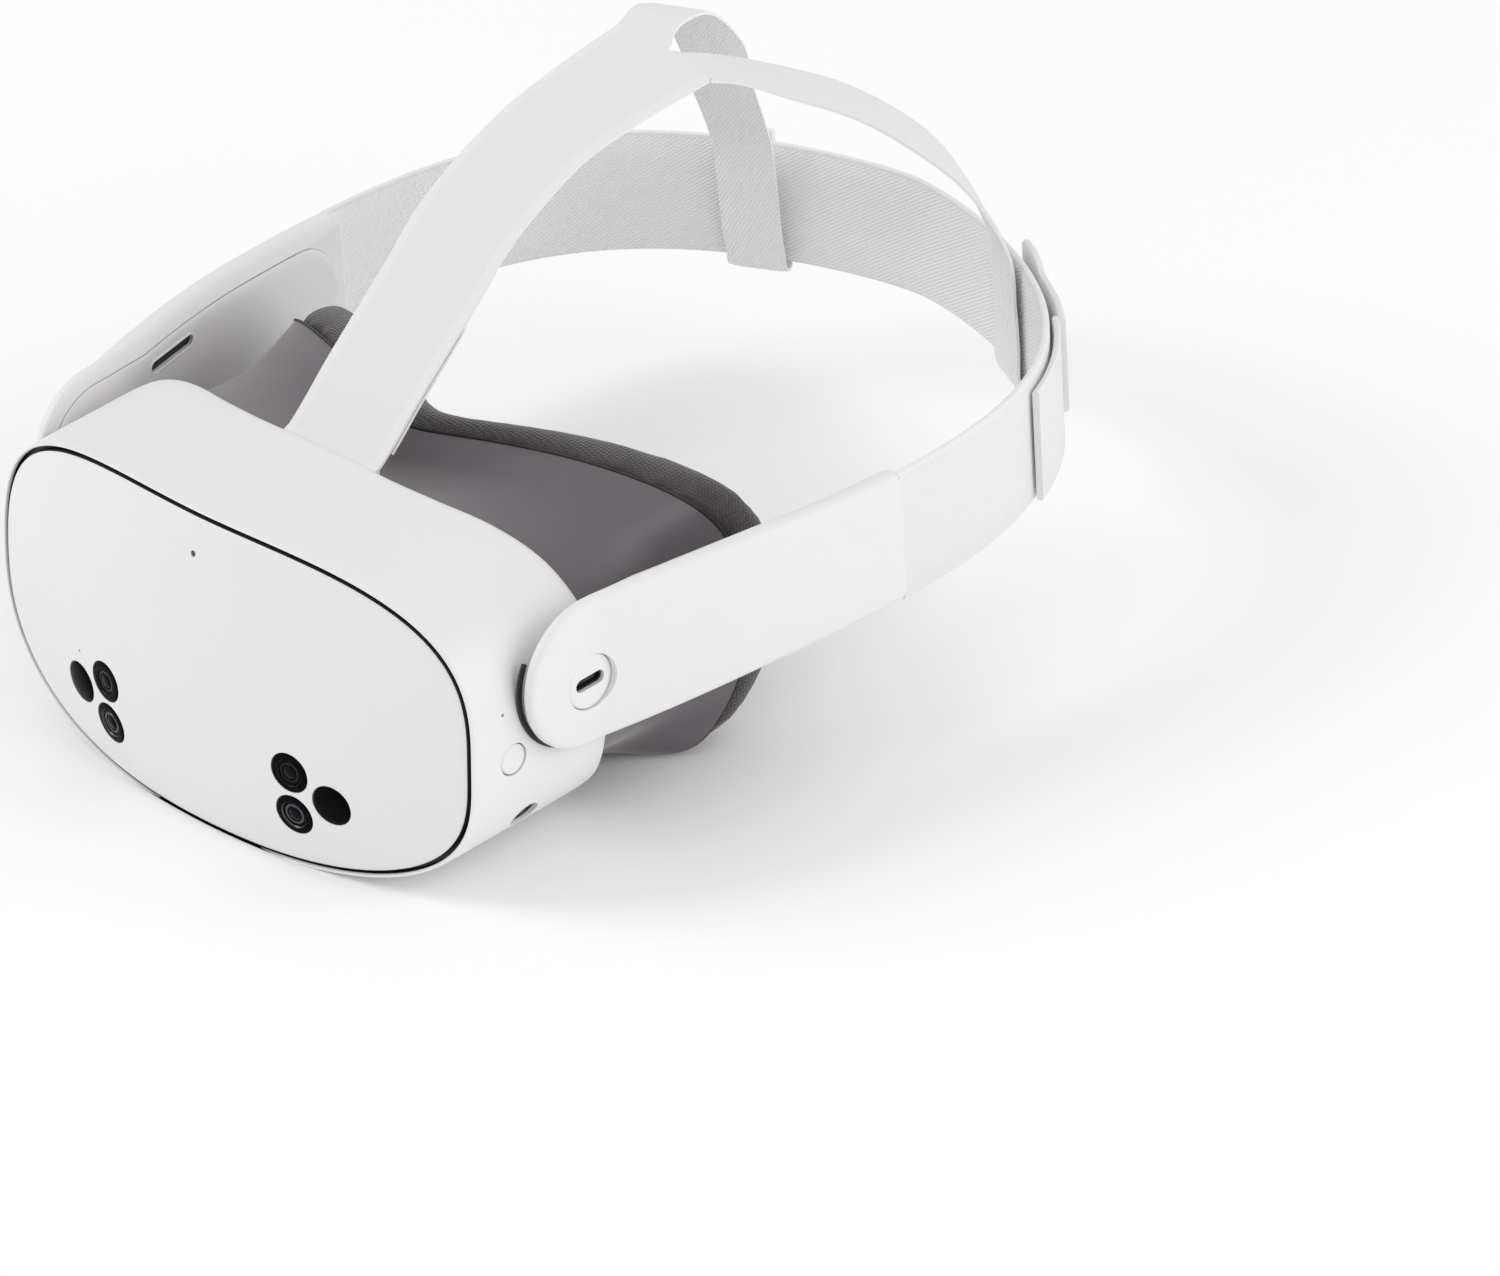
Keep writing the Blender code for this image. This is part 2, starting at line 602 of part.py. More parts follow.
def buttons():
    """Power button on the left side, volume rocker and action button on the underside."""
    y, z = POWER_BUTTON_PLACE
    profile = [(POWER_BUTTON_RADIUS, -4.0), (POWER_BUTTON_RADIUS, 0.0), (POWER_BUTTON_RADIUS - 0.5, 0.35)]
    turned("power_button", (POWER_BUTTON_X, y, z), (1, 0, 0), profile, SATIN_WHITE, 24)
    rocker = box("volume_rocker", (VOLUME_X, BOTTOM_KEY_Y, BOTTOM_KEY_Z), VOLUME_SIZE, SATIN_WHITE, 0.8)
    place_origin(rocker, (VOLUME_X, BOTTOM_KEY_Y, BOTTOM_KEY_Z + 1.0))
    cylinder("action_button", (ACTION_X, BOTTOM_KEY_Y, BOTTOM_KEY_Z + 0.2), (0, 0, 1), ACTION_RADIUS, 4.4,
             SATIN_WHITE, 20)


def pivot_hubs():
    """Stems through the visor's sides that carry the arms; the left one holds the port."""
    for side_name, side in SIDES:
        profile = [(6.8, 86.6), (6.8, 88.2), (5.4, 88.4), (5.4, 94.0), (HUB_RADIUS - 2.0, 94.2),
                   (HUB_RADIUS, 95.4), (HUB_RADIUS, 99.2), (HUB_RADIUS - 0.6, 99.8)]
        hub = turned("pivot_hub_" + side_name, (0, PIVOT_Y, PIVOT_Z), (side, 0, 0), profile, SATIN_WHITE, 28)
        if side > 0:
            cut_box(hub, (96.5, PIVOT_Y, PIVOT_Z), (7.2, 9.8, 4.0))
    port = box("usb_c_port", (96.0, PIVOT_Y, PIVOT_Z), (5.6, 9.0, 3.3), BARE_METAL)
    cut_box(port, (97.0, PIVOT_Y, PIVOT_Z), (5.6, 8.2, 2.5))


# ---------------------------------------------------------------- facial interface
def cushion_edge(index):
    """Rear outer edge of the cushion at one of the ring's points."""
    quarter = index / (SEGMENTS / 4)
    side = 1
    if 1 < quarter < 3:
        side = -1
        quarter = 2 - quarter
    elif quarter >= 3:
        quarter -= 4
    x, y, z = smooth_keys(CUSHION_KEYS, quarter)
    return side * abs(x), y, max(z, 0.4 - LIFT)


def pulled_in(point, amount):
    """Moves a point towards the middle of the opening."""
    x, y, z = point
    height = z - CUSHION_CENTRE_Z
    distance = math.hypot(x, height)
    share = (distance - amount) / distance
    return x * share, y, CUSHION_CENTRE_Z + height * share


def face_cushion():
    section = [(2.0, 16.5), (0.2, 13.0), (0.0, 6.0), (2.6, 0.8), (7.0, -0.4), (11.5, 1.8), (13.0, 7.0),
               (11.5, 16.5)]
    rings = []
    for index in range(SEGMENTS):
        edge = cushion_edge(index)
        ring = []
        for inward, forward in section:
            x, y, z = pulled_in(edge, inward)
            ring.append((x, y - forward, z))
        rings.append(ring)
    return loft("face_cushion", rings, KNIT_GREY, cyclic=True)


def facial_frame():
    """Flared frame from the visor's rear opening to the cushion, waisted between them."""
    # share of the way to the cushion, pinch towards the middle
    stations = [(0.0, 0.0), (0.12, 1.6), (0.35, 4.2), (0.6, 4.6), (0.82, 2.6), (1.0, 0.8)]

    def ring(share, pinch, wall):
        points = []
        for index, angle in enumerate(ANGLES):
            high = min(1.0, max(0.0, outline(angle, 0.0)[1] / 30))
            x, z = outline(angle, -FRAME_INSET - STRAP_ROOM * high)
            start = np.array((x, rear_y(angle) - 3.0, z))
            edge = cushion_edge(index)
            end = np.array((edge[0], edge[1] - CUSHION_DEPTH, edge[2]))
            mixed = start + (end - start) * share
            low = min(1.0, max(0.0, -z / 30))
            waist = pinch * (1 - (1 - LOWER_PINCH) * low)
            points.append(pulled_in(mixed, waist + wall))
        return points

    rings = [ring(share, pinch, 0.0) for share, pinch in stations]
    rings += [ring(share, pinch, FRAME_WALL) for share, pinch in reversed(stations)]
    return loft("facial_frame", rings, MATTE_GREY, cyclic=True)


# ---------------------------------------------------------------- head strap
def band_share(y):
    return (y - STRAP_START_Y) / STRAP_DEPTH


def band_x(y):
    """Outer face of the strap's side at a distance back."""
    u = min(max(band_share(y), 0.0), 1.0)
    return STRAP_HALF_WIDTH * (1 - u ** 7.05) ** (1 / 1.52) * (1 + 0.63 * u * (1 - u))


def band_top(y):
    u = band_share(y)
    return 38.0 - 8.6 * u + 1.7 * u * u


def band_bottom(y):
    u = band_share(y)
    return -4.8 - 3.2 * u + 0.4 * u * u


def band_path(start_y):
    """Even points (x, y) along the strap's outer face from the left side round to the right."""
    shares = 1 - np.linspace(0, 1, 4000) ** 3
    ys = STRAP_START_Y + STRAP_DEPTH * shares
    half = np.array([(band_x(y), y) for y in ys if y >= start_y])[::-1]
    both = np.vstack([half, (half * (-1, 1))[::-1][1:]])
    steps = np.hypot(*np.diff(both, axis=0).T)
    length = np.concatenate([[0], np.cumsum(steps)])
    count = int(length[-1] / 9.0)
    marks = np.linspace(0, length[-1], count + 1)
    return np.column_stack([np.interp(marks, length, both[:, k]) for k in (0, 1)])


def outward_of(path):
    """Outward directions at the path's points, turned away from the middle of the loop."""
    slope = np.gradient(path, axis=0)
    slope /= np.hypot(slope[:, 0], slope[:, 1])[:, None]
    across = np.column_stack([slope[:, 1], -slope[:, 0]])
    middle = np.array([0.0, 150.0])
    away = np.sum(across * (path - middle), axis=1)
    return across * np.where(away < 0, -1, 1)[:, None]


def band_solid(name, path, outward, low_offset, high_offset, inner, outer, look):
    """Solid strip that follows the strap between two distances from its outer face."""
    rings = []
    for k, ((x, y), (nx, ny)) in enumerate(zip(path, outward)):
        low = band_bottom(y) + (low_offset(k) if callable(low_offset) else low_offset)
        high = band_top(y) + (high_offset(k) if callable(high_offset) else high_offset)
        rings.append([(x + nx * inner, y + ny * inner, low), (x + nx * outer, y + ny * outer, low),
                      (x + nx * outer, y + ny * outer, high), (x + nx * inner, y + ny * inner, high)])
    return loft(name, rings, look)


def back_strap():
    path = band_path(ARM_END_Y + GAP)
    outward = outward_of(path)
    band_solid("back_strap", path, outward, 0.0, 0.0, -STRAP_THICKNESS, 0.0, SOFT_WHITE)
    for side_name, side in SIDES:
        slider = np.array([SLIDER_X[0] < side * x < SLIDER_X[1] and y > 225 for x, y in path])
        tail = np.array([TAIL_Y[0] < y < TAIL_Y[1] and side * x > SLIDER_X[1] + 0.5 for x, y in path])
        lift = slider_lift(path[slider])
        band_solid("strap_slider_" + side_name, path[slider], outward[slider], 1.2, lift, 2.8, 5.2, SATIN_WHITE)
        band_solid("strap_tail_" + side_name, path[tail], outward[tail], 1.0, -TAIL_DROP, 1.0, 3.0, SOFT_WHITE)


def slider_lift(path):
    """The slider's inner end stands above the strap as a hook."""
    inner_end = min(abs(x) for x, _ in path)

    def lift(k):
        return HOOK_LIFT if abs(path[k][0]) < inner_end + HOOK_LENGTH else -SLIDER_DROP
    return lift


def section(centre, width_axis, normal, half_width, thickness):
    """Three points along each face of a flat strap."""
    c = Vector(centre)
    across = Vector(width_axis) * half_width
    up = Vector(normal) * thickness / 2
    return [c - across + up, c + up, c + across + up, c + across - up, c - up, c - across - up]


def top_strap():
    """Y-shaped strap: one stem over the crown and two branches to the back strap."""
    half = TOP_STRAP_HALF_WIDTH
    thick = TOP_STRAP_THICKNESS
    marks = np.linspace(0, 7, 22)
    centres = [smooth_keys(TOP_STRAP_KEYS, m) for m in marks]
    slopes = np.gradient(np.array(centres), axis=0)
    points = []
    faces = []
    for mark, (y, z), (dy, dz) in zip(marks, centres, slopes):
        roll = STEM_ROLL * max(0.0, mark - 5) / 2
        across = Vector((math.cos(roll), 0, -math.sin(roll)))
        normal = across.cross(Vector((0, dy, dz))).normalized()
        points += section((0, y, z), across, normal, half, thick)
    for i in range(len(centres) - 1):
        for j in range(6):
            k = (j + 1) % 6
            faces.append((6 * i + j, 6 * i + k, 6 * i + 6 + k, 6 * i + 6 + j))
    faces.append((0, 1, 4, 5))
    faces.append((1, 2, 3, 4))
    last = 6 * (len(centres) - 1)
    for side, first in ((1, (last + 1, last + 2, last + 3, last + 4)), (-1, (last, last + 1, last + 4, last + 5))):
        previous = first
        for corners in branch_sections(side):
            start = len(points)
            points += corners
            ring = tuple(start + n for n in range(4))
            for j in range(4):
                k = (j + 1) % 4
                faces.append((previous[j], previous[k], ring[k], ring[j]))
            previous = ring
        faces.append(previous)
    build_mesh("top_strap", [tuple(p) for p in points], faces, SOFT_WHITE)
    top_strap_tab()


def branch_sections(side):
    """Four-cornered sections of one branch, from the crown down and round the back strap."""
    anchor = np.array(WRAP_ANCHOR)
    out = np.array(WRAP_OUTWARD)
    along = (out[1], -out[0], 0.0)
    keys = LEFT_BRANCH_KEYS if side > 0 else RIGHT_BRANCH_KEYS
    route = [smooth_keys(keys, m) for m in np.linspace(0, 7, 22)[1:]]
    for distance, height in WRAP:
        route.append(np.array([*(anchor + out * distance), height, *along]))
    route = np.array(route)
    slopes = np.gradient(route[:, :3], axis=0)
    sections = []
    for row, slope in zip(route, slopes):
        tangent = Vector(slope).normalized()
        across = Vector(row[3:])
        across = (across - tangent * across.dot(tangent)).normalized()
        normal = across.cross(tangent)
        flip = Vector((side, 1, 1))
        c = Vector(row[:3])
        wide = across * (TOP_STRAP_HALF_WIDTH / 2)
        thin = normal * TOP_STRAP_THICKNESS / 2
        corners = [c - wide + thin, c + wide + thin, c + wide - thin, c - wide - thin]
        if side < 0:
            corners = [corners[1], corners[0], corners[3], corners[2]]
        sections.append([corner * flip for corner in corners])
    return sections


def top_strap_tab():
    """Loose end of the stem folded back under it at the visor."""
    thick = TOP_STRAP_THICKNESS
    marks = np.linspace(0.55, 3.0, 9)
    centres = [smooth_keys(TOP_STRAP_KEYS, m) for m in marks]
    slopes = np.gradient(np.array(centres), axis=0)
    rings = []
    for (y, z), (dy, dz) in zip(centres, slopes):
        normal = Vector((0, -dz, dy)).normalized()
        centre = Vector((0, y, z)) - normal * (thick + 0.5)
        corners = section(centre, (1, 0, 0), normal, TOP_STRAP_HALF_WIDTH - 0.6, thick)
        rings.append([tuple(corners[k]) for k in (0, 2, 3, 5)])
    loft("top_strap_tab", rings, SOFT_WHITE)
    box("top_strap_anchor", (0, 42.4, 44.9), (40, 2.2, 1.8), SATIN_WHITE)


# ---------------------------------------------------------------- side arms
def arm_stations():
    """Places along the arm: y, half height and middle height, round at the front."""
    stations = []
    for step in range(7):
        angle = math.radians(8 + (90 - 8) * step / 6)
        y = ARM_FRONT_Y - ARM_FRONT_RADIUS * math.cos(angle)
        stations.append((y, ARM_FRONT_RADIUS * math.sin(angle), ARM_FRONT_Z))
    for y in (52, 64, 76, 88, 100, 112, 124, 136, ARM_END_Y):
        share = min(1.0, (y - ARM_FRONT_Y) / ARM_RISE)
        half = (band_top(y) - band_bottom(y)) / 2
        middle = (band_top(y) + band_bottom(y)) / 2
        stations.append((y, ARM_FRONT_RADIUS + (half - ARM_FRONT_RADIUS) * share,
                         ARM_FRONT_Z + (middle - ARM_FRONT_Z) * share))
    return stations


def arm_inner_x(y):
    return max(ARM_CLEAR_X, band_x(y) - ARM_THICKNESS)


def arm_solid(name, side, inset, outer, inner, look, end_y=None, collection=None):
    """Chamfered solid along the arm; outer and inner give its x faces at a distance back."""
    rings = []
    for y, half, middle in arm_stations():
        if y < ARM_FRONT_Y:
            shrink = (ARM_FRONT_RADIUS - inset) / ARM_FRONT_RADIUS
            y = ARM_FRONT_Y - (ARM_FRONT_Y - y) * shrink
            half *= shrink
        else:
            half -= inset
        if end_y:
            y = min(y, end_y)
        edge = min(1.6 if look or collection is None else 0.4, half / 3)
        x_out = outer(y)
        x_in = inner(y)
        edge = min(edge, (x_out - x_in) / 3)
        ring = [(x_out, y, middle - half + edge), (x_out, y, middle + half - edge),
                (x_out - edge, y, middle + half), (x_in + edge, y, middle + half),
                (x_in, y, middle + half - edge), (x_in, y, middle - half + edge),
                (x_in + edge, y, middle - half), (x_out - edge, y, middle - half)]
        rings.append([(side * x, yy, z) for x, yy, z in ring])
        if end_y and y >= end_y:
            break
    return loft(name, rings, look, collection=collection)


def side_arms():
    for side_name, side in SIDES:
        body = arm_solid("arm_" + side_name, side, 0.0, band_x, arm_inner_x, SATIN_WHITE)
        pocket = arm_solid("pocket", side, COVER_INSET - GAP, lambda y: band_x(y) - 2.5, lambda y: arm_inner_x(y) - 3.0,
                           None, ARM_END_Y - 4.0, CUTTERS)
        cut(body, pocket)
        cut_round(body, (side * 98, PIVOT_Y, PIVOT_Z), (1, 0, 0), HUB_RADIUS + GAP, 20, 28)
        cover = arm_solid("arm_cover_" + side_name, side, COVER_INSET, lambda y: arm_inner_x(y) + COVER_THICKNESS, arm_inner_x,
                          SATIN_WHITE, ARM_END_Y - 4.4)
        cut_round(cover, (side * 96, PIVOT_Y, PIVOT_Z), (1, 0, 0), HUB_RADIUS + GAP, 20, 28)
        cut_box(cover, (side * 95, SPEAKER_Y, SPEAKER_SLOT_Z), (12, *SPEAKER_SLOT))
        speaker(side_name, side)


def speaker(side_name, side):
    """Flat speaker box behind the slot, following the arm's curve."""
    rings = []
    for y in np.linspace(SPEAKER_Y - 10, SPEAKER_Y + 14, 5):
        near = arm_inner_x(y) + 2.6
        far = near + 2.2
        rings.append([(side * near, y, 15), (side * far, y, 15), (side * far, y, 29), (side * near, y, 29)])
    loft("speaker_" + side_name, rings, MATTE_BLACK)


# ---------------------------------------------------------------- assembly
def hang_on_pivot(*prefixes):
    """Parents the strap's pieces to an empty on the axis that the strap tilts about."""
    pivot = bpy.data.objects.new("head_strap_pivot", None)
    pivot.location = lifted((0, PIVOT_Y, PIVOT_Z))
    PARTS.objects.link(pivot)
    bpy.context.view_layer.update()
    for obj in PARTS.objects:
        if obj.type == "MESH" and obj.name.startswith(prefixes) and obj.name != "top_strap_anchor":
            obj.parent = pivot
            obj.matrix_parent_inverse = pivot.matrix_world.inverted()


def main():
    faceplate()
    faceplate_gasket()
    visor_shell()
    mid_frame()
    inner_housing()
    housing_screws()
    display_and_boards()
    cooling_fan()
    for side_name, side in SIDES:
        lens_barrel(side_name, side)
    ipd_rail()
    camera_set()
    buttons()
    pivot_hubs()
    facial_frame()
    face_cushion()
    side_arms()
    back_strap()
    top_strap()
    hang_on_pivot("arm_", "speaker_", "back_strap", "strap_", "top_strap")


main()
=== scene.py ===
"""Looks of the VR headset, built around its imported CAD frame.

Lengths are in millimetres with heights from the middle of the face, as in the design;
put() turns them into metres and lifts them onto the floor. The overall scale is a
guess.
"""
import json
import math

import bmesh
import bpy
import numpy as np
from mathutils import Matrix, Vector


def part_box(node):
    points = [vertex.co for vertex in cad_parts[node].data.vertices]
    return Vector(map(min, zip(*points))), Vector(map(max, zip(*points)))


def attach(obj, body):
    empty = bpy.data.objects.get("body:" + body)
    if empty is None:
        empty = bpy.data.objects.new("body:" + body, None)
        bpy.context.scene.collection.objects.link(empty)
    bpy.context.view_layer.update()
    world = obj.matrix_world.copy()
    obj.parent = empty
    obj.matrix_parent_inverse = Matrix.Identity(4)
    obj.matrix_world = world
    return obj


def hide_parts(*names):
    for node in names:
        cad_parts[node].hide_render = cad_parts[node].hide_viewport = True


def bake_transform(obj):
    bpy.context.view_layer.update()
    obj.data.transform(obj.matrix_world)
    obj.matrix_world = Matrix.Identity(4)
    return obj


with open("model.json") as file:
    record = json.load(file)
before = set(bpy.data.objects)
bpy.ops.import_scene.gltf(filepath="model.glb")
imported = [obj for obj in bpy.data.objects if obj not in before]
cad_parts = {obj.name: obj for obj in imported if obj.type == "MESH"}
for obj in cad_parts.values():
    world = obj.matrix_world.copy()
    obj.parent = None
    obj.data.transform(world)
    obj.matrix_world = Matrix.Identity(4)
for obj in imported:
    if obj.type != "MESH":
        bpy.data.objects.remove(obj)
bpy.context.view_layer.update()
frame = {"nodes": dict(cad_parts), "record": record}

MM = 0.001
LIFT = 47.0                # middle of the face above the floor
FACE_HALF_WIDTH = 92.0
FACE_TOP = 48.7
FACE_BOTTOM = 46.8
FACE_POWER = 2.92
FACE_BULGE = 18.2
FACE_CURL = 6.05
FACE_TILT = 3.3
SEGMENTS = 192
STRAP_START_Y = 42.3
STRAP_DEPTH = 230.6
STRAP_HALF_WIDTH = 99.2
STRAP_THICKNESS = 2.4
PIVOT_Y = 40.0
PIVOT_Z = 12.0
ARM_FRONT_Y = 40.0
ARM_FRONT_Z = 14.5
ARM_FRONT_RADIUS = 22.2
ARM_END_Y = 146.0
ARM_THICKNESS = 9.0
ARM_CLEAR_X = 94.4
ARM_TOP_KEYS = [(40, 36.7), (60, 37.1), (80, 37.3), (96, 37.0), (116, 36.0), (146, 34.5)]
ARM_BOTTOM_KEYS = [(40, -7.7), (60, -6.9), (80, -6.1), (97, -5.6), (120, -5.7), (146, -6.15)]
HUB_BORE = 8.35            # radius of the hub's hole in arm and cover
COVER_INSET = 4.0
ARM_EDGE = 2.6             # thickness the arm's inner face leans out to
ARM_LEAN = 8.0             # width of the part that leans
SLIDER_X = (47.0, 79.0)    # ends of each strap adjuster
TAIL_X = 79.5              # each doubled-back strap end stays outside this
TAIL_Y = (205.0, 246.0)
SPEAKER_Y = 70.5
SPEAKER_Z = 27.6
SPEAKER_LENGTH = 20.0
SPEAKER_HEIGHT = 3.6
TOP_STRAP_HALF_WIDTH = 18.0
TOP_STRAP_THICKNESS = 1.6
SIDES = (("left", 1), ("right", -1))
FRONT_HOLE = 6.2           # radius of the holes for front cameras and infrared domes
SIDE_CAMERA_PLACE = (22.8, -26.5)  # y, z
PANEL_Y = 35.2        # front of the panel round the lenses
PLATE_THICKNESS = 2.2
CUSHION_SEAM = 16.4        # depth of the cushion's front seam
FRAME_REACH = 16.9         # how far ahead of the cushion's rear edge the frame ends
BAND_POWER = 7.05          # the strap's plan: how square its rear corners are
BAND_ROUND = 1.52
BAND_SWELL = 0.63          # and how far its sides bow out
CAMERA_DISTANCE = 3325.42  # of the view, from the middle of the face


def node_centre(node):
    """Middle of a CAD node in the design's millimetres."""
    low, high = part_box(node)
    middle = (low + high) / 2 / MM
    return Vector((middle.x, middle.y, middle.z - LIFT))


# ---------------------------------------------------------------- materials
class Look:
    """A node material built step by step round one Principled shader."""

    def __init__(self, name, color, roughness, metallic=0.0):
        self.material = bpy.data.materials.new(name)
        self.material.use_nodes = True
        self.tree = self.material.node_tree
        self.shader = self.tree.nodes["Principled BSDF"]
        self.shader.inputs["Base Color"].default_value = (*color, 1.0)
        self.shader.inputs["Roughness"].default_value = roughness
        self.shader.inputs["Metallic"].default_value = metallic
        self.color = color
        self.roughness = roughness
        self.height = None

    def add(self, kind, **settings):
        node = self.tree.nodes.new(kind)
        for key, value in settings.items():
            setattr(node, key, value)
        return node

    def link(self, a, b):
        self.tree.links.new(a, b)

    def place(self, attribute=None):
        """Object coordinates, or a named attribute of the mesh."""
        if attribute:
            return self.add("ShaderNodeAttribute", attribute_name=attribute).outputs["Vector"]
        return self.add("ShaderNodeTexCoord").outputs["Object"]

    def math(self, operation, a, b=None, c=None):
        node = self.add("ShaderNodeMath", operation=operation)
        for socket, value in zip(node.inputs, (a, b, c)):
            if value is None:
                continue
            if isinstance(value, (int, float)):
                socket.default_value = value
            else:
                self.link(value, socket)
        return node.outputs[0]

    def axes(self, attribute=None):
        """The place's three coordinates as separate outputs."""
        parts = self.add("ShaderNodeSeparateXYZ")
        self.link(self.place(attribute), parts.inputs[0])
        return parts.outputs

    def wave(self, value, period):
        return self.math("SINE", self.math("MULTIPLY", value, 2 * math.pi / period))

    def spread(self, value, low, high, to_low=0.0, to_high=1.0):
        """Maps low to high onto another span."""
        node = self.add("ShaderNodeMapRange")
        for name, number in (("From Min", low), ("From Max", high), ("To Min", to_low), ("To Max", to_high)):
            node.inputs[name].default_value = number
        self.link(value, node.inputs["Value"])
        return node.outputs[0]

    def noise(self, scale, detail=3.0):
        node = self.add("ShaderNodeTexNoise")
        node.inputs["Scale"].default_value = scale
        node.inputs["Detail"].default_value = detail
        self.link(self.place(), node.inputs["Vector"])
        return node.outputs["Fac"]

    def vary_color(self, factor, low, high):
        """Base colour between low and high times the look's own colour."""
        mix = self.add("ShaderNodeMix", data_type="RGBA")
        mix.inputs[6].default_value = (*(c * low for c in self.color), 1.0)
        mix.inputs[7].default_value = (*(min(1.0, c * high) for c in self.color), 1.0)
        self.link(factor, mix.inputs[0])
        self.link(mix.outputs[2], self.shader.inputs["Base Color"])

    def vary_roughness(self, factor, spread):
        low = max(0.0, self.roughness - spread)
        high = min(1.0, self.roughness + spread)
        self.link(self.spread(factor, 0.0, 1.0, low, high), self.shader.inputs["Roughness"])

    def bump(self, height, distance, strength=1.0):
        node = self.add("ShaderNodeBump")
        node.inputs["Strength"].default_value = strength
        node.inputs["Distance"].default_value = distance * MM
        self.link(height, node.inputs["Height"])
        if self.height:
            self.link(self.height, node.inputs["Normal"])
        self.height = node.outputs["Normal"]
        self.link(self.height, self.shader.inputs["Normal"])

    def set(self, name, value):
        self.shader.inputs[name].default_value = value
        return self


def satin_plastic(name, color, roughness, grain=0.02):
    """Moulded plastic: fine spark grain, faint flow mottling and uneven gloss."""
    look = Look(name, color, roughness)
    mottle = look.noise(38.0, 4.0)
    look.vary_color(mottle, 0.985, 1.012)
    look.vary_roughness(look.noise(160.0, 5.0), 0.06)
    look.bump(look.noise(2600.0, 2.0), grain, 0.6)
    return look


def white_plastic():
    look = satin_plastic("white_satin", (0.80, 0.79, 0.795), 0.42)
    look.set("Coat Weight", 0.12).set("Coat Roughness", 0.35)
    look.set("Subsurface Weight", 0.04).set("Subsurface Radius", (0.003, 0.003, 0.003))
    return look.material


def ribbed_white():
    """Arm skin: satin white with a fine woven rib that runs along the arm."""
    look = satin_plastic("arm_weave", (0.80, 0.79, 0.795), 0.5, 0.01)
    parts = look.axes()
    rib = look.wave(parts["Z"], 1.15 * MM)
    fade = look.spread(parts["Y"], 80 * MM, 108 * MM, 1.0, 0.0)
    look.bump(look.math("MULTIPLY", rib, fade), 0.03, 0.7)
    return look.material


def dark_plastic(name="matt_black"):
    return satin_plastic(name, (0.016, 0.016, 0.018), 0.48).material


def frame_plastic():
    """Warm grey soft-touch plastic of the facial frame."""
    look = satin_plastic("frame_grey", (0.120, 0.104, 0.115), 0.40, 0.03)
    look.set("Sheen Weight", 0.4).set("Sheen Roughness", 0.4)
    return look.material


def panel_fabric():
    """Dark stretch fabric over the panel behind the lenses."""
    look = Look("panel_fabric", (0.03, 0.028, 0.031), 0.85)
    look.bump(lattice(look, 0.9), 0.06, 0.8)
    look.vary_color(look.noise(300.0), 0.85, 1.15)
    look.set("Sheen Weight", 0.3)
    return look.material


def lattice(look, period):
    """Small rounded bumps that cover any surface, as a fine knit does."""
    parts = look.axes()
    turn = 2 * math.pi / (period * MM)
    waves = [look.math("MULTIPLY", parts[axis], turn) for axis in ("X", "Y", "Z")]
    sines = [look.math("SINE", wave) for wave in waves]
    cosines = [look.math("COSINE", wave) for wave in waves]
    total = look.math("MULTIPLY", sines[0], cosines[1])
    total = look.math("ADD", total, look.math("MULTIPLY", sines[1], cosines[2]))
    return look.math("ADD", total, look.math("MULTIPLY", sines[2], cosines[0]))


def cushion_knit():
    """Dark knit over foam: looped stitches, slight heather and soft sheen."""
    look = Look("cushion_knit", (0.058, 0.050, 0.055), 0.92)
    stitches = lattice(look, 1.25)
    shade = look.math("MULTIPLY", look.spread(stitches, -1.3, 1.3), 0.5)
    blend = look.math("MULTIPLY_ADD", look.noise(420.0, 4.0), 0.5, shade)
    look.vary_color(blend, 0.72, 1.3)
    look.bump(stitches, 0.09, 0.8)
    look.bump(look.noise(1500.0, 3.0), 0.05, 0.5)
    look.set("Sheen Weight", 0.35).set("Sheen Roughness", 0.45)
    return look.material


def strap_cloth(name, color, twill, depth):
    """Woven elastic from the cloth_mm attribute: twill is the diagonal's pitch, 0 for plain weave."""
    look = Look(name, color, 0.82)
    parts = look.axes("cloth_mm")
    along = parts["X"]
    across = parts["Y"]
    if twill:
        slant = look.wave(look.math("MULTIPLY_ADD", across, 1.55, along), twill)
        weave = look.math("MULTIPLY_ADD", look.wave(across, twill * 0.55), 0.3, slant)
    else:
        weave = look.math("MULTIPLY", look.wave(along, 0.9), look.wave(across, 0.8))
    fibre = look.noise(900.0, 4.0)
    shade = look.math("MULTIPLY", look.spread(weave, -1.0, 1.0), 0.65)
    mixed = look.math("MULTIPLY_ADD", fibre, 0.35, shade)
    look.vary_color(mixed, 1.0 - 0.16 * depth, 1.0 + 0.06 * depth)
    look.bump(weave, 0.10 * depth, 0.8)
    look.bump(fibre, 0.03, 0.4)
    look.set("Sheen Weight", 0.25).set("Sheen Roughness", 0.4)
    return look.material


def gloss_black():
    look = Look("camera_black", (0.002, 0.002, 0.0025), 0.09)
    look.vary_roughness(look.noise(220.0, 3.0), 0.03)
    look.set("Specular IOR Level", 0.025)
    look.bump(look.noise(90.0, 1.0), 0.004, 0.3)
    return look.material


def ring_metal(name, color, roughness):
    """Turned ring: circular brushing seen as fine noise in the gloss."""
    look = Look(name, color, roughness, 0.85)
    look.vary_roughness(look.noise(1200.0, 2.0), 0.08)
    look.bump(look.noise(1800.0, 2.0), 0.01, 0.5)
    return look.material


def lens_coating():
    """Deep violet-blue reflection of a coated camera lens."""
    look = Look("lens_coating", (0.003, 0.003, 0.006), 0.05)
    facing = look.add("ShaderNodeLayerWeight")
    facing.inputs["Blend"].default_value = 0.35
    look.vary_color(facing.outputs["Facing"], 0.6, 2.4)
    look.set("Specular IOR Level", 0.08).set("Specular Tint", (0.8, 0.75, 1.0, 1.0))
    return look.material


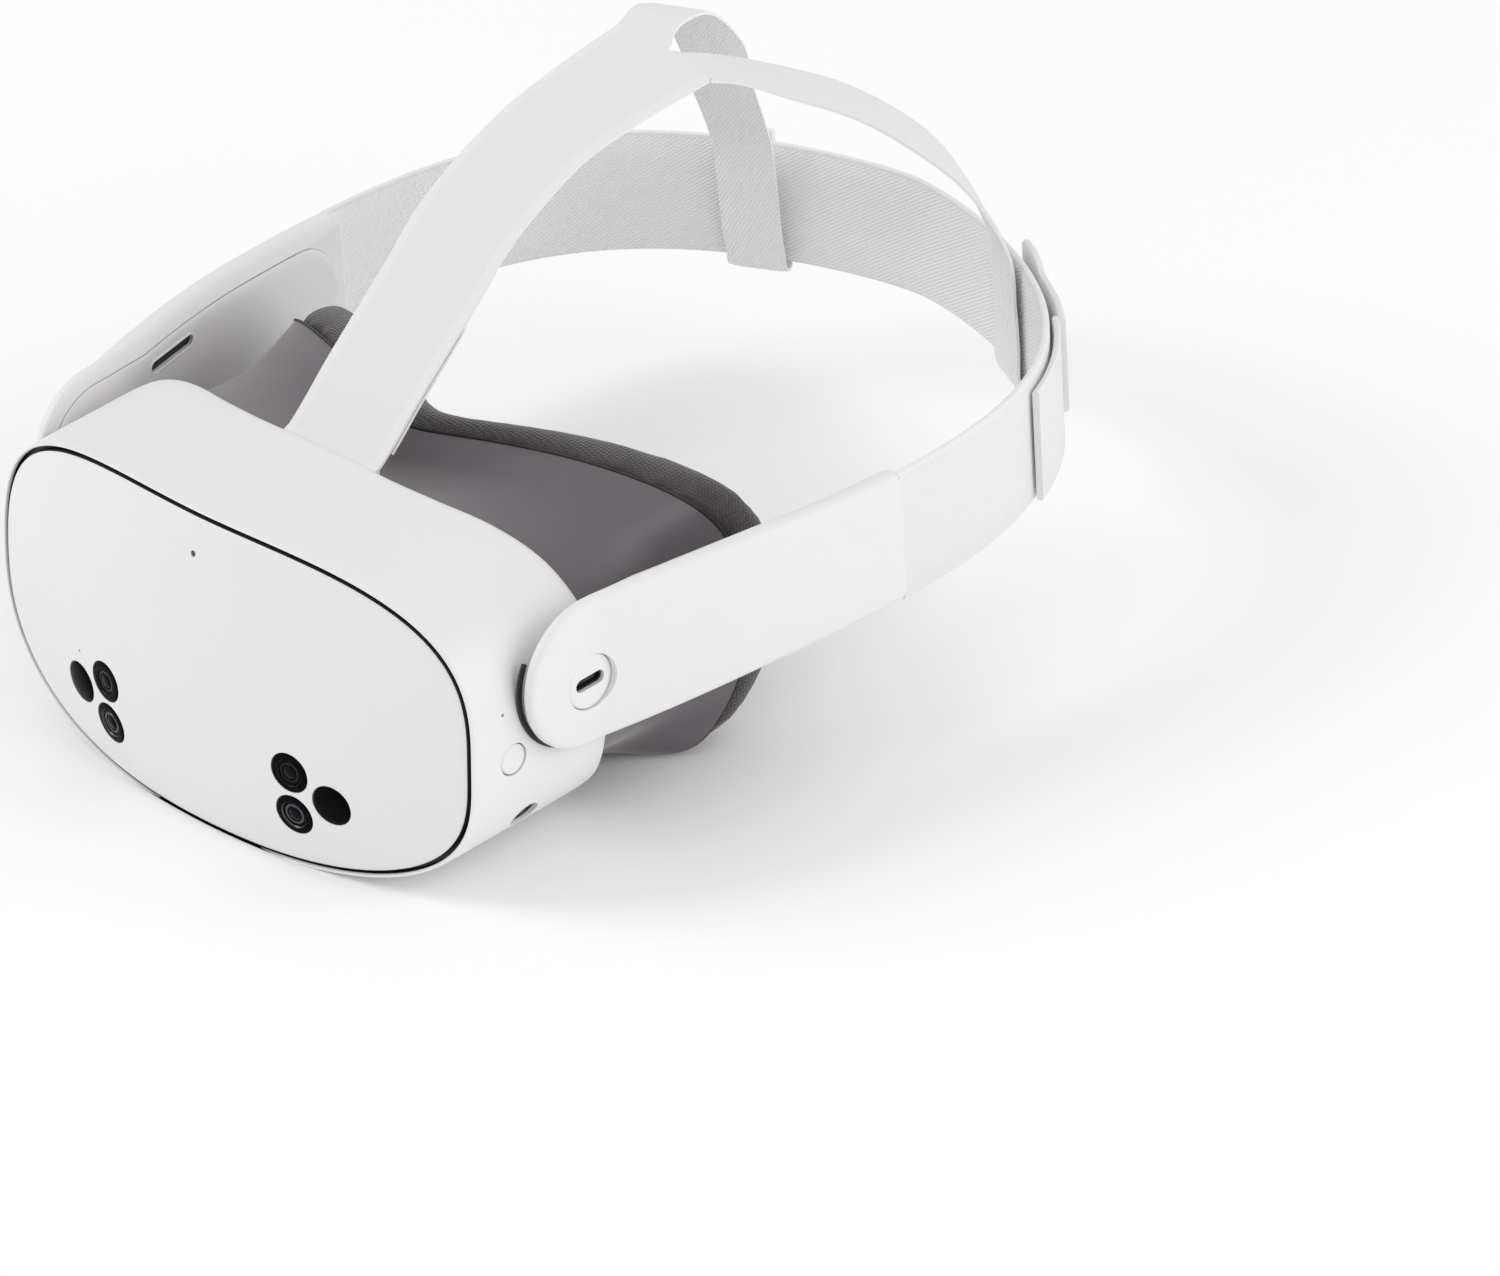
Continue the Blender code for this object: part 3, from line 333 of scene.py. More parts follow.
def eye_lens():
    """Clear moulded eye lens over the dark barrel, with fine concentric cuts."""
    look = Look("eye_lens", (0.020, 0.022, 0.030), 0.03)
    cuts = look.math("FRACT", look.math("DIVIDE", look.axes("cloth_mm")["X"], 0.75))
    look.bump(cuts, 0.05, 0.6)
    look.vary_color(look.noise(30.0), 0.8, 1.3)
    look.set("Coat Weight", 1.0).set("Coat Roughness", 0.01).set("IOR", 1.55)
    look.set("Specular Tint", (0.85, 0.9, 1.0, 1.0))
    return look.material


def lamp_dot():
    """Status light, unlit as in the photograph."""
    look = Look("led_dot", (0.05, 0.05, 0.055), 0.3)
    look.vary_roughness(look.noise(400.0), 0.05)
    return look.material


WHITE = white_plastic()
ARM_WHITE = ribbed_white()
BLACK = dark_plastic()
GREY = frame_plastic()
PANEL = panel_fabric()
KNIT = cushion_knit()
# Dark colour of real seams, the gasket and the speaker mesh; also painted shade on the groove walls round the
# faceplate and in the gap between each arm and the pod.
SEAM_AND_GAP_SHADE = dark_plastic("seam_black_and_gap_shade")
STRAP_OUT = strap_cloth("strap_outer", (0.80, 0.79, 0.80), 0.0, 0.35)
# Inner twill face, coloured lighter than the outer face: painted light on the strap's inside.
STRAP_IN_PAINTED_LIGHT = strap_cloth("strap_twill_painted_light", (0.97, 0.96, 0.97), 1.9, 1.0)
# Rounded edges, coloured lighter than the outer face: a painted highlight along the strap's edges.
STRAP_EDGE_HIGHLIGHT = strap_cloth("strap_edge_painted_highlight", (0.84, 0.83, 0.84), 0.0, 0.5)
GLOSS = gloss_black()
RING = ring_metal("lens_ring", (0.010, 0.010, 0.011), 0.30)
# Ring metal for the lower cameras, paler than the upper cameras' rings: a painted highlight on real rings.
RING_PAINTED_HIGHLIGHT = ring_metal("pale_ring_painted_highlight", (0.08, 0.08, 0.085), 0.32)
COATING = lens_coating()
EYE = eye_lens()
METAL = ring_metal("port_metal", (0.42, 0.42, 0.43), 0.3)
LED = lamp_dot()
CLOTH = [STRAP_OUT, STRAP_IN_PAINTED_LIGHT, STRAP_EDGE_HIGHLIGHT]


# ---------------------------------------------------------------- mesh helpers
def put(name, points, faces, materials, face_material=None, cloth=None, sharp=38.0):
    """Makes a smooth-shaded piece from millimetre points, faces turned outward."""
    mesh = bpy.data.meshes.new(name)
    mesh.from_pydata([(x * MM, y * MM, (z + LIFT) * MM) for x, y, z in points], [], faces)
    for material in materials:
        mesh.materials.append(material)
    if face_material is not None:
        mesh.polygons.foreach_set("material_index", face_material)
    if cloth is not None:
        layer = mesh.attributes.new("cloth_mm", "FLOAT_VECTOR", "POINT")
        layer.data.foreach_set("vector", np.array(cloth, float).ravel())
    bm = bmesh.new()
    bm.from_mesh(mesh)
    bmesh.ops.recalc_face_normals(bm, faces=bm.faces)
    bm.to_mesh(mesh)
    bm.free()
    mesh.shade_smooth()
    mesh.set_sharp_from_angle(angle=math.radians(sharp))
    obj = bpy.data.objects.new(name, mesh)
    bpy.context.scene.collection.objects.link(obj)
    return obj


def evaluated(obj):
    """A new mesh with the object's modifiers applied."""
    graph = bpy.context.evaluated_depsgraph_get()
    return bpy.data.meshes.new_from_object(obj.evaluated_get(graph))


def loft(name, rings, materials, poles=(None, None), cyclic=False, band=None, cloth=None, sharp=38.0):
    """Joins equal rings into one closed piece. band(i, j) gives a face's material index."""
    count = len(rings[0])
    points = [tuple(point) for ring in rings for point in ring]
    faces = []
    index = []
    spans = len(rings) if cyclic else len(rings) - 1
    for i in range(spans):
        a = i * count
        b = ((i + 1) % len(rings)) * count
        for j in range(count):
            k = (j + 1) % count
            faces.append((a + j, a + k, b + k, b + j))
            index.append(band(i, j) if band else 0)
    if not cyclic:
        for end, (pole, start) in enumerate(((poles[0], 0), (poles[1], (len(rings) - 1) * count))):
            ring = [start + j for j in range(count)]
            slot = band(0 if end == 0 else spans - 1, 0) if band else 0
            if pole is None:
                faces.append(tuple(ring))
                index.append(slot)
                continue
            points.append(tuple(pole))
            for j in range(count):
                faces.append((ring[j], ring[(j + 1) % count], len(points) - 1))
                index.append(slot)
    if cloth is not None:
        cloth = list(cloth) + [cloth[0]] * (len(points) - len(cloth))
    return put(name, points, faces, materials, index, cloth, sharp)


def turned(name, centre, axis, profile, materials, steps=64, poles=False, band=None, cloth=False):
    """Body of revolution about an axis: the profile holds (radius, height) pairs."""
    turn = Vector((0, 0, 1)).rotation_difference(Vector(axis)).to_matrix()
    centre = Vector(centre)
    rings = []
    marks = []
    for radius, height in profile:
        ring = []
        for j in range(steps):
            angle = 2 * math.pi * j / steps
            local = Vector((radius * math.cos(angle), radius * math.sin(angle), height))
            ring.append(centre + turn @ local)
            marks.append((radius, 0.0, 0.0))
        rings.append(ring)
    ends = (None, None)
    if poles:
        ends = tuple(centre + turn @ Vector((0, 0, profile[k][1])) for k in (0, -1))
    return loft(name, rings, materials, poles=ends, band=band, cloth=marks if cloth else None)


def cut(target, cutter):
    """Boolean difference, applied, with the cutter removed."""
    modifier = target.modifiers.new("cut", "BOOLEAN")
    modifier.solver = "EXACT"
    modifier.object = cutter
    bpy.context.view_layer.update()
    mesh = evaluated(target)
    target.modifiers.clear()
    target.data = mesh
    bpy.data.objects.remove(cutter, do_unlink=True)
    mesh.set_sharp_from_angle(angle=math.radians(38))


def drill(target, centre, axis, radius, length, steps=64):
    profile = [(radius, -length / 2), (radius, length / 2)]
    cut(target, turned("drill", centre, axis, profile, [], steps))


def slot_cutter(centre, length, height, depth, steps=10):
    """Rounded slot along Y, cutting through X."""
    loop = []
    radius = height / 2
    for end in (1, -1):
        for k in range(steps + 1):
            angle = -math.pi / 2 + math.pi * k / steps
            y = end * (length / 2 - radius + radius * math.cos(angle))
            loop.append((y, end * radius * math.sin(angle)))
    x0, y0, z0 = centre
    return [[(x0 + side * depth / 2, y0 + y, z0 + z) for y, z in loop] for side in (-1, 1)]


def smooth_keys(keys, value):
    """Smooth curve through (parameter, numbers...) keys, read at one parameter."""
    table = np.array(keys, dtype=float)
    params = table[:, 0]
    slopes = np.gradient(table[:, 1:], params, axis=0)
    i = int(np.clip(np.searchsorted(params, value) - 1, 0, len(params) - 2))
    width = params[i + 1] - params[i]
    s = (value - params[i]) / width
    start = (2 * s ** 3 - 3 * s ** 2 + 1) * table[i, 1:]
    end = (-2 * s ** 3 + 3 * s ** 2) * table[i + 1, 1:]
    lean = (s ** 3 - 2 * s ** 2 + s) * slopes[i] + (s ** 3 - s ** 2) * slopes[i + 1]
    return start + end + lean * width


def finish(obj, body, slot, *nodes):
    """Rides on a body and stands for CAD nodes; the slot argument is not used."""
    if body:
        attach(obj, body)
    if nodes:
        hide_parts(*nodes)
    return obj


# ---------------------------------------------------------------- visor form
def outline(angle, grow=0.0):
    c = math.cos(angle)
    s = math.sin(angle)
    power = 2 / FACE_POWER
    height = FACE_TOP if s >= 0 else FACE_BOTTOM
    x = (FACE_HALF_WIDTH + grow) * math.copysign(abs(c) ** power, c)
    z = (height + grow) * math.copysign(abs(s) ** power, s)
    return x, max(z, -LIFT - min(0.0, grow))


def even_angles(segments):
    angles = []
    for quarter in range(4):
        dense = np.linspace(quarter, quarter + 1, 800) * math.pi / 2
        points = np.array([outline(a) for a in dense])
        steps = np.hypot(*np.diff(points, axis=0).T)
        length = np.concatenate([[0], np.cumsum(steps)])
        for k in range(segments // 4):
            angles.append(float(np.interp(length[-1] * k * 4 / segments, length, dense)))
    return angles


ANGLES = even_angles(SEGMENTS)


def face_y(x, z):
    curl = FACE_CURL * (z / LIFT) ** 2 + FACE_TILT * z / LIFT
    return -FACE_BULGE * (1 - (x / FACE_HALF_WIDTH) ** 2) + curl


REAR_KEYS = [(-90, 55), (-60, 57.5), (-40, 57), (-20, 53), (0, 52), (30, 50), (45, 48.5),
             (60, 45), (72, 41), (80, 39.3), (90, 39)]


def rear_y(angle):
    turn = math.degrees(math.asin(max(-1.0, min(1.0, math.sin(angle)))))
    return float(smooth_keys(REAR_KEYS, turn)[0])


REARS = [rear_y(angle) for angle in ANGLES]


def ring_at(grow, depths):
    """The outline, grown outward, with one depth for each of its points."""
    ring = []
    for angle, y in zip(ANGLES, depths):
        x, z = outline(angle, grow)
        ring.append((x, y, z))
    return ring


def front_ring(grow, depth):
    return ring_at(grow, [face_y(*outline(angle)) + depth for angle in ANGLES])


def back_ring(grow, ahead):
    return ring_at(grow, [rear - ahead for rear in REARS])


def middle_ring(grow, share):
    front = front_ring(grow, 0.0)
    rear = back_ring(grow, 0.0)
    return [(a[0], a[1] + (b[1] - a[1]) * share, a[2]) for a, b in zip(front, rear)]


def side_point(y_place, z_place):
    """Point and outward direction on the visor's +X side."""
    ratio = abs(z_place) / FACE_BOTTOM
    x = (FACE_HALF_WIDTH + 1.5) * (1 - ratio ** FACE_POWER) ** (1 / FACE_POWER)
    slope_x = (x / FACE_HALF_WIDTH) ** (FACE_POWER - 1) / FACE_HALF_WIDTH
    slope_z = ratio ** (FACE_POWER - 1) / FACE_BOTTOM
    direction = Vector((slope_x, 0, math.copysign(slope_z, z_place))).normalized()
    return Vector((x, y_place, z_place)), direction


def side_camera_seat(side):
    """Place and outward direction of a side camera."""
    return [Vector((side * v.x, v.y, v.z)) for v in side_point(*SIDE_CAMERA_PLACE)]


# ---------------------------------------------------------------- visor pieces
def visor_shell():
    rings = [front_ring(0.45, 0.9), front_ring(0.5, 0.35), front_ring(0.75, 0.0), front_ring(1.05, 0.0),
             front_ring(1.35, 0.35), front_ring(1.5, 1.2), front_ring(1.6, 3.0)]
    rings += [middle_ring(1.65, share) for share in (0.12, 0.22, 0.34, 0.46, 0.58, 0.7, 0.8)]
    rings += [back_ring(grow, ahead) for grow, ahead in
              ((1.5, 6.5), (1.3, 4.4), (0.9, 2.6), (0.3, 1.2), (-0.4, 0.35), (-1.1, 0.0), (-1.8, 0.25),
               (-2.2, 0.9), (-2.2, 3.0), (-1.4, 7.0))]
    rings += [middle_ring(-0.8, 0.4), front_ring(-1.2, 5.0), front_ring(0.4, 4.6)]
    last = len(rings) - 1
    # The span that closes the loop, the shell's inside just behind its front edge, is painted dark: painted
    # shade in the groove round the faceplate.
    shell = loft("visor_shell_skin", rings, [WHITE, SEAM_AND_GAP_SHADE], cyclic=True, band=lambda i, j: int(i == last))
    for _, side in SIDES:
        spot, way = side_camera_seat(side)
        drill(shell, spot, way, 4.75, 12)
        drill(shell, (side * 92, PIVOT_Y, PIVOT_Z), (1, 0, 0), 5.8, 14)
    power = node_centre("power_button")
    drill(shell, (92, power.y, power.z), (1, 0, 0), 4.85, 14)
    drill(shell, (93.5, 12.5, 12.0), (1, 0, 0), 0.55, 6, 24)
    action = node_centre("action_button")
    drill(shell, (action.x, action.y, -46), (0, 0, 1), 4.25, 9)
    rocker = node_centre("volume_rocker")
    cut(shell, rounded_bar("slot", (rocker.x, rocker.y, -46), 22.5, 5.5, 9, []))
    for x in (-20, -16, -12, 12, 16, 20):
        drill(shell, (x, 2.0, -46), (0, 0, 1), 0.6, 5, 20)
    finish(shell, "visor", "white_shell", "visor_shell")


def rounded_bar(name, centre, length, width, height, materials, soft=0.0):
    """Bar along X with round ends, standing along Z; soft rounds its lower edge."""
    levels = [(0.0, height / 2)]
    if soft:
        levels += [(0.0, -height / 2 + soft), (soft * 0.3, -height / 2 + soft * 0.3), (soft, -height / 2)]
    else:
        levels += [(0.0, -height / 2)]
    rings = []
    for inset, level in levels:
        ring = []
        radius = width / 2 - inset
        for end in (1, -1):
            for k in range(13):
                angle = -math.pi / 2 + math.pi * k / 12
                x = end * (length / 2 - width / 2 + radius * math.cos(angle))
                ring.append((centre[0] + x, centre[1] + end * radius * math.sin(angle), centre[2] + level))
        rings.append(ring)
    return loft(name, rings, materials)


def faceplate():
    scales = (0.06, 0.14, 0.22, 0.3, 0.38, 0.46, 0.54, 0.62, 0.7, 0.78, 0.85, 0.91, 0.95, 0.98)
    edge = [(-1.5, 0.0), (-1.05, 0.08), (-0.8, 0.3), (-0.7, 0.7), (-0.7, 2.0)]

    def inside(scale, depth):
        points = [outline(angle, -1.5) for angle in ANGLES]
        return [(x * scale, face_y(x * scale, z * scale) + depth, z * scale) for x, z in points]

    rings = [inside(scale, 0.0) for scale in scales]
    rings += [ring_at(grow, [face_y(*outline(a, grow)) + depth for a in ANGLES]) for grow, depth in edge]
    rings += [inside(scale, PLATE_THICKNESS) for scale in reversed(scales)]
    middle = face_y(0, 0)
    # The spans of the rim's side wall in the groove are painted dark: painted shade.
    edge_span = range(len(scales) + 2, len(scales) + 5)
    poles = ((0, middle, 0), (0, middle + PLATE_THICKNESS, 0))
    plate = loft("faceplate_skin", rings, [WHITE, SEAM_AND_GAP_SHADE], poles, band=lambda i, j: int(i in edge_span))
    names = [f"{level}_camera_{side_name}_lens" for level in ("upper", "lower") for side_name, _ in SIDES]
    names += ["infrared_emitter_" + side_name for side_name, _ in SIDES]
    for name in names:
        drill(plate, node_centre(name), (0, 1, 0), FRONT_HOLE, 12)
    drill(plate, node_centre("status_led"), (0, 1, 0), 0.9, 12, 32)
    mic = (-49.0, -11.5)
    drill(plate, (mic[0], face_y(*mic), mic[1]), (0, 1, 0), 0.45, 3.0, 24)
    finish(plate, "visor", "white_shell", "faceplate")


def groove():
    rings = [front_ring(-4.0, 2.5), front_ring(0.2, 2.5), front_ring(0.2, 3.8), front_ring(-4.0, 3.8)]
    seal = loft("groove_seal", rings, [SEAM_AND_GAP_SHADE], cyclic=True)
    finish(seal, "visor", "matte_black", "faceplate_gasket")


def tilt_axis(x, z):
    """Outward normal of the face at a place."""
    slope_x = 2 * FACE_BULGE * x / FACE_HALF_WIDTH ** 2
    slope_z = 2 * FACE_CURL * z / LIFT ** 2 + FACE_TILT / LIFT
    return Vector((slope_x, -1.0, slope_z)).normalized()


def face_seat(node):
    """Place on the face in front of a CAD node, and the face's outward direction there."""
    spot = node_centre(node)
    return Vector((spot.x, face_y(spot.x, spot.z), spot.z)), tilt_axis(spot.x, spot.z)


def front_cameras():
    """Glossy disc with a stepped, ringed lens in its middle."""
    profile = [(6.0, -2.0), (6.0, -0.15), (5.85, 0.1), (5.5, 0.2), (4.25, 0.2), (4.1, 0.05), (3.95, -0.25),
               (3.2, -0.35), (3.1, -0.2), (2.5, -0.25), (2.4, -0.45), (1.75, -0.55)]
    for level in ("upper", "lower"):
        # The lower cameras' rings take the paler copy: a painted highlight.
        rim = RING if level == "upper" else RING_PAINTED_HIGHLIGHT

        def band(i, j):
            if i in (3, 4, 5):
                return 1 if i == 3 else 2
            return 2 if 7 <= i <= 8 else 0

        for side_name, _ in SIDES:
            node = f"{level}_camera_{side_name}_lens"
            seat, way = face_seat(node)
            disc = turned(node + "_disc", seat, way, profile, [GLOSS, GLOSS, rim, RING], 72, band=band)
            finish(disc, "visor", "gloss_black", node)
            dome = [(2.3, -0.5), (2.2, -0.35), (1.9, -0.12), (1.4, 0.06), (0.8, 0.15), (0.3, 0.18)]
            eye = turned(node + "_glass", seat, way, dome, [COATING], 48, poles=True)
            finish(eye, "visor", "gloss_black")


def infrared_discs():
    profile = [(6.0, -2.0), (6.0, -0.1), (5.85, 0.15), (5.5, 0.3), (4.6, 0.5), (3.4, 0.68), (2.2, 0.79),
               (1.0, 0.84), (0.3, 0.85)]
    for side_name, _ in SIDES:
        node = "infrared_emitter_" + side_name
        seat, way = face_seat(node)
        dome = turned(node + "_dome", seat, way, profile, [GLOSS], 72, poles=True)
        finish(dome, "visor", "gloss_black", node)


def side_cameras():
    profile = [(4.3, -5.0), (4.3, -0.35), (4.15, -0.1), (3.9, 0.0), (3.0, 0.0), (2.9, -0.3), (2.0, -0.45)]
    for side_name, side in SIDES:
        spot, way = side_camera_seat(side)
        spot = spot - way * 0.35
        node = "side_camera_" + side_name
        disc = turned(node + "_disc", spot, way, profile, [GLOSS, RING], 64, band=lambda i, j: int(i >= 4))
        finish(disc, "visor", "gloss_black", node)
        dome = [(2.1, -0.4), (1.9, -0.15), (1.3, 0.05), (0.5, 0.14)]
        eye = turned(node + "_glass", spot, way, dome, [COATING], 40, poles=True)
        finish(eye, "visor", "gloss_black")


def status_light():
    seat, way = face_seat("status_led")
    profile = [(0.8, -1.6), (0.8, -0.1), (0.5, 0.05), (0.2, 0.08)]
    dot = turned("led_window", seat + Vector((0, 0.15, 0)), way, profile, [LED], 32, poles=True)
    finish(dot, "visor", "gloss_black", "status_led")


def power_button():
    centre = node_centre("power_button")
    spot = Vector((93.35, centre.y, centre.z))
    profile = [(4.45, -3.4), (4.45, -0.35), (4.3, -0.08), (4.0, 0.05), (3.0, 0.10), (1.5, 0.13), (0.4, 0.14)]
    key = turned("power_button_cap", spot, (1, 0, 0), profile, [WHITE], 64, poles=True)
    finish(key, "power_key", "white_shell", "power_button")


def bottom_keys():
    centre = node_centre("volume_rocker")
    bar = rounded_bar("volume_rocker_cap", (centre.x, centre.y, -44.2), 22.0, 5.0, 4.0, [WHITE], 0.6)
    finish(bar, "volume_key", "white_shell", "volume_rocker")
    centre = node_centre("action_button")
    profile = [(4.0, 2.2), (4.0, -1.8), (3.7, -2.1), (3.0, -2.2), (1.5, -2.2), (0.4, -2.2)]
    place = (centre.x, centre.y, -44.0)
    cap = turned("action_button_cap", place, (0, 0, 1), profile[::-1], [WHITE], 48, poles=True)
    finish(cap, "action_key", "white_shell", "action_button")


def pivot_hubs():
    """Boss in each arm, sunk a little below its face; the left one holds the port."""
    profile = [(6.8, 86.6), (6.8, 88.2), (5.4, 88.4), (5.4, 94.0), (7.0, 94.2), (8.15, 95.0), (8.15, 98.3),
               (8.0, 98.7), (7.6, 98.85), (6.6, 98.9), (4.0, 98.9), (1.0, 98.9)]
    for side_name, side in SIDES:
        place = (0, PIVOT_Y, PIVOT_Z)
        hub = turned("hub_cap_" + side_name, place, (side, 0, 0), profile, [WHITE], 96, poles=True)
        if side > 0:
            cut(hub, loft("port_slot", slot_cutter((97.5, PIVOT_Y, PIVOT_Z), 10.6, 3.9, 8.0), []))
        finish(hub, "visor", "white_shell", "pivot_hub_" + side_name)
    shell = loft("port_shell", slot_cutter((95.7, PIVOT_Y, PIVOT_Z), 10.2, 3.5, 4.4), [BLACK])
    cut(shell, loft("port_mouth", slot_cutter((96.5, PIVOT_Y, PIVOT_Z), 9.2, 2.7, 4.4), []))
    finish(shell, "visor", "bare_metal", "usb_c_port")
    tongue = loft("port_tongue", slot_cutter((95.6, PIVOT_Y, PIVOT_Z), 6.4, 0.75, 3.4), [BLACK])
    finish(tongue, "visor", "matte_black")
    # A dark arc in the gap behind each arm's front edge: painted shade between arm and pod, not a part.
    for side_name, side in SIDES:
        rim = [(20.6, 93.4), (22.1, 93.5), (22.1, 94.3), (20.6, 94.3)]
        rings = []
        for angle in np.linspace(math.radians(150), math.radians(255), 40):
            rings.append([(side * h, 39.5 + r * math.cos(angle), 13.8 + r * math.sin(angle)) for r, h in rim])
        gap_shade_arc = loft("hinge_gap_shade_" + side_name, rings, [SEAM_AND_GAP_SHADE])
        finish(gap_shade_arc, "head_strap", "matte_black")


# ---------------------------------------------------------------- side arms and strap curve
def band_share(y):
    return (y - STRAP_START_Y) / STRAP_DEPTH


def band_x(y):
    u = min(max(band_share(y), 0.0), 1.0)
    return STRAP_HALF_WIDTH * (1 - u ** BAND_POWER) ** (1 / BAND_ROUND) * (1 + BAND_SWELL * u * (1 - u))


def band_top(y):
    u = band_share(y)
    return 38.0 - 8.6 * u + 1.7 * u * u


def band_bottom(y):
    u = band_share(y)
    return -4.8 - 3.2 * u + 0.4 * u * u


def arm_inner_x(y):
    return max(ARM_CLEAR_X, band_x(y) - ARM_THICKNESS)


def arm_half(inset, end_y, corner):
    """Half outline of the arm, front tip to rear: (y, half height, middle height)."""
    points = []
    radius = ARM_FRONT_RADIUS - inset
    for k in range(1, 21):
        angle = math.pi / 2 * k / 20
        points.append((ARM_FRONT_Y - radius * math.cos(angle), radius * math.sin(angle), ARM_FRONT_Z))
    last = end_y - corner
    for y in np.linspace(ARM_FRONT_Y + 4, last, 34):
        high = float(smooth_keys(ARM_TOP_KEYS, y)[0])
        low = float(smooth_keys(ARM_BOTTOM_KEYS, y)[0])
        points.append((y, (high - low) / 2 - inset, (high + low) / 2))
    _, half, middle = points[-1]
    for k in range(1, 9):
        angle = math.pi / 2 * k / 8
        points.append((last + corner * math.sin(angle), half - corner * (1 - math.cos(angle)), middle))
    return points


def pill(name, side, levels, end_y, materials, band=None, cloth=False, corner=1.2):
    """Arm-shaped solid from offset loops. A level is (inset, x function, end shift)
    and may end with its own corner radius."""
    rows = []
    for inset, x_at, shift, *turn in levels:
        half = arm_half(inset, end_y - shift, turn[0] if turn else max(0.3, corner - inset * 0.3))
        upper = [(side * x_at(y), y, middle + h) for y, h, middle in half]
        lower = [(side * x_at(y), y, middle - h) for y, h, middle in half]
        tip_y = half[0][0] - (half[1][0] - half[0][0]) * 0.35
        rows.append([(side * x_at(tip_y), tip_y, half[0][2])] + upper + lower[::-1])
    count = len(rows[0])
    points = [p for row in rows for p in row]
    faces = []
    index = []
    for i in range(len(rows) - 1):
        for j in range(count):
            k = (j + 1) % count
            faces.append((i * count + j, i * count + k, (i + 1) * count + k, (i + 1) * count + j))
            index.append(band(i) if band else 0)
    half_count = (count - 1) // 2
    columns = 6
    for level, start in ((0, 0), (len(rows) - 1, (len(rows) - 1) * count)):
        x_at = levels[level][1]
        slot = band(level if level == 0 else level - 1) if band else 0
        fill_cap(points, faces, index, start, half_count, columns, side, x_at, slot)
    marks = [(p[1], p[2], 0.0) for p in points] if cloth else None
    return put(name, points, faces, materials, index, marks)


def fill_cap(points, faces, index, start, half_count, columns, side, x_at, slot):
    """Closes an arm loop with strips between its upper and lower edges."""
    previous = None
    for j in range(half_count):
        top = start + 1 + j
        bottom = start + 2 * half_count - j
        row = [top]
        for c in range(1, columns):
            share = c / columns
            a = points[top]
            b = points[bottom]
            y = a[1] + (b[1] - a[1]) * share
            points.append((side * x_at(y), y, a[2] + (b[2] - a[2]) * share))
            row.append(len(points) - 1)
        row.append(bottom)
        if previous is None:
            for c in range(columns):
                faces.append((start, row[c], row[c + 1]))
                index.append(slot)
        else:
            for c in range(columns):
                faces.append((previous[c], row[c], row[c + 1], previous[c + 1]))
                index.append(slot)
        previous = row


def side_arms():
    for side_name, side in SIDES:
        def outer(depth):
            return lambda y: band_x(y) - depth

        def inner(inset, sunk=0.0):
            """Inner face that leans out to a thin edge over its outer 8 mm."""
            lean = math.sqrt(max(0.0, 1 - max(0.0, 1 - inset / ARM_LEAN) ** 2))

            def x_at(y):
                full = band_x(y) - arm_inner_x(y)
                return band_x(y) - ARM_EDGE - (full - ARM_EDGE) * lean + sunk
            return x_at

        rounding = ((2.6, -0.05), (1.7, 0.08), (0.9, 0.36), (0.35, 0.8), (0.05, 1.4))
        levels = [(inset, outer(depth), 0.0) for inset, depth in rounding]
        levels += [(inset, inner(inset), 0.0) for inset in (0.0, 0.12, 0.5, 1.2, 2.4)]
        levels += [(COVER_INSET - 0.1, inner(COVER_INSET), 4.15, 14.1),
                   (COVER_INSET, inner(COVER_INSET, 0.2), 4.25, 14.0),
                   (COVER_INSET, inner(COVER_INSET, 1.4), 4.25, 14.0)]
        body = pill("arm_skin_" + side_name, side, levels, ARM_END_Y + 0.2, [ARM_WHITE, WHITE, SEAM_AND_GAP_SHADE],
                    band=lambda i: 0 if i < 4 else (2 if i > 11 else 1))
        drill(body, (side * 98, PIVOT_Y, PIVOT_Z), (1, 0, 0), HUB_BORE, 20, 96)
        finish(body, "head_strap", "white_shell", "arm_" + side_name)
        levels = [(inset, inner(inset), 0.0) for inset in (12.0, 9.5, 8.0, 6.8, 5.6, COVER_INSET + 0.6)]
        levels += [(COVER_INSET + 0.42, inner(COVER_INSET + 0.4, 0.08), 0.0),
                   (COVER_INSET + 0.36, inner(COVER_INSET, 0.6), 0.0),
                   (COVER_INSET + 0.36, inner(COVER_INSET, 1.2), 0.0)]
        cover = pill("arm_cover_skin_" + side_name, side, levels, ARM_END_Y - 4.4, [WHITE], corner=14.0)
        drill(cover, (side * 96, PIVOT_Y, PIVOT_Z), (1, 0, 0), HUB_BORE, 20, 96)
        mouth = (side * arm_inner_x(SPEAKER_Y), SPEAKER_Y, SPEAKER_Z)
        cut(cover, loft("slot", slot_cutter(mouth, SPEAKER_LENGTH, SPEAKER_HEIGHT, 8.0), []))
        finish(cover, "head_strap", "white_shell", "arm_cover_" + side_name)
        speaker_slot(side_name, side)


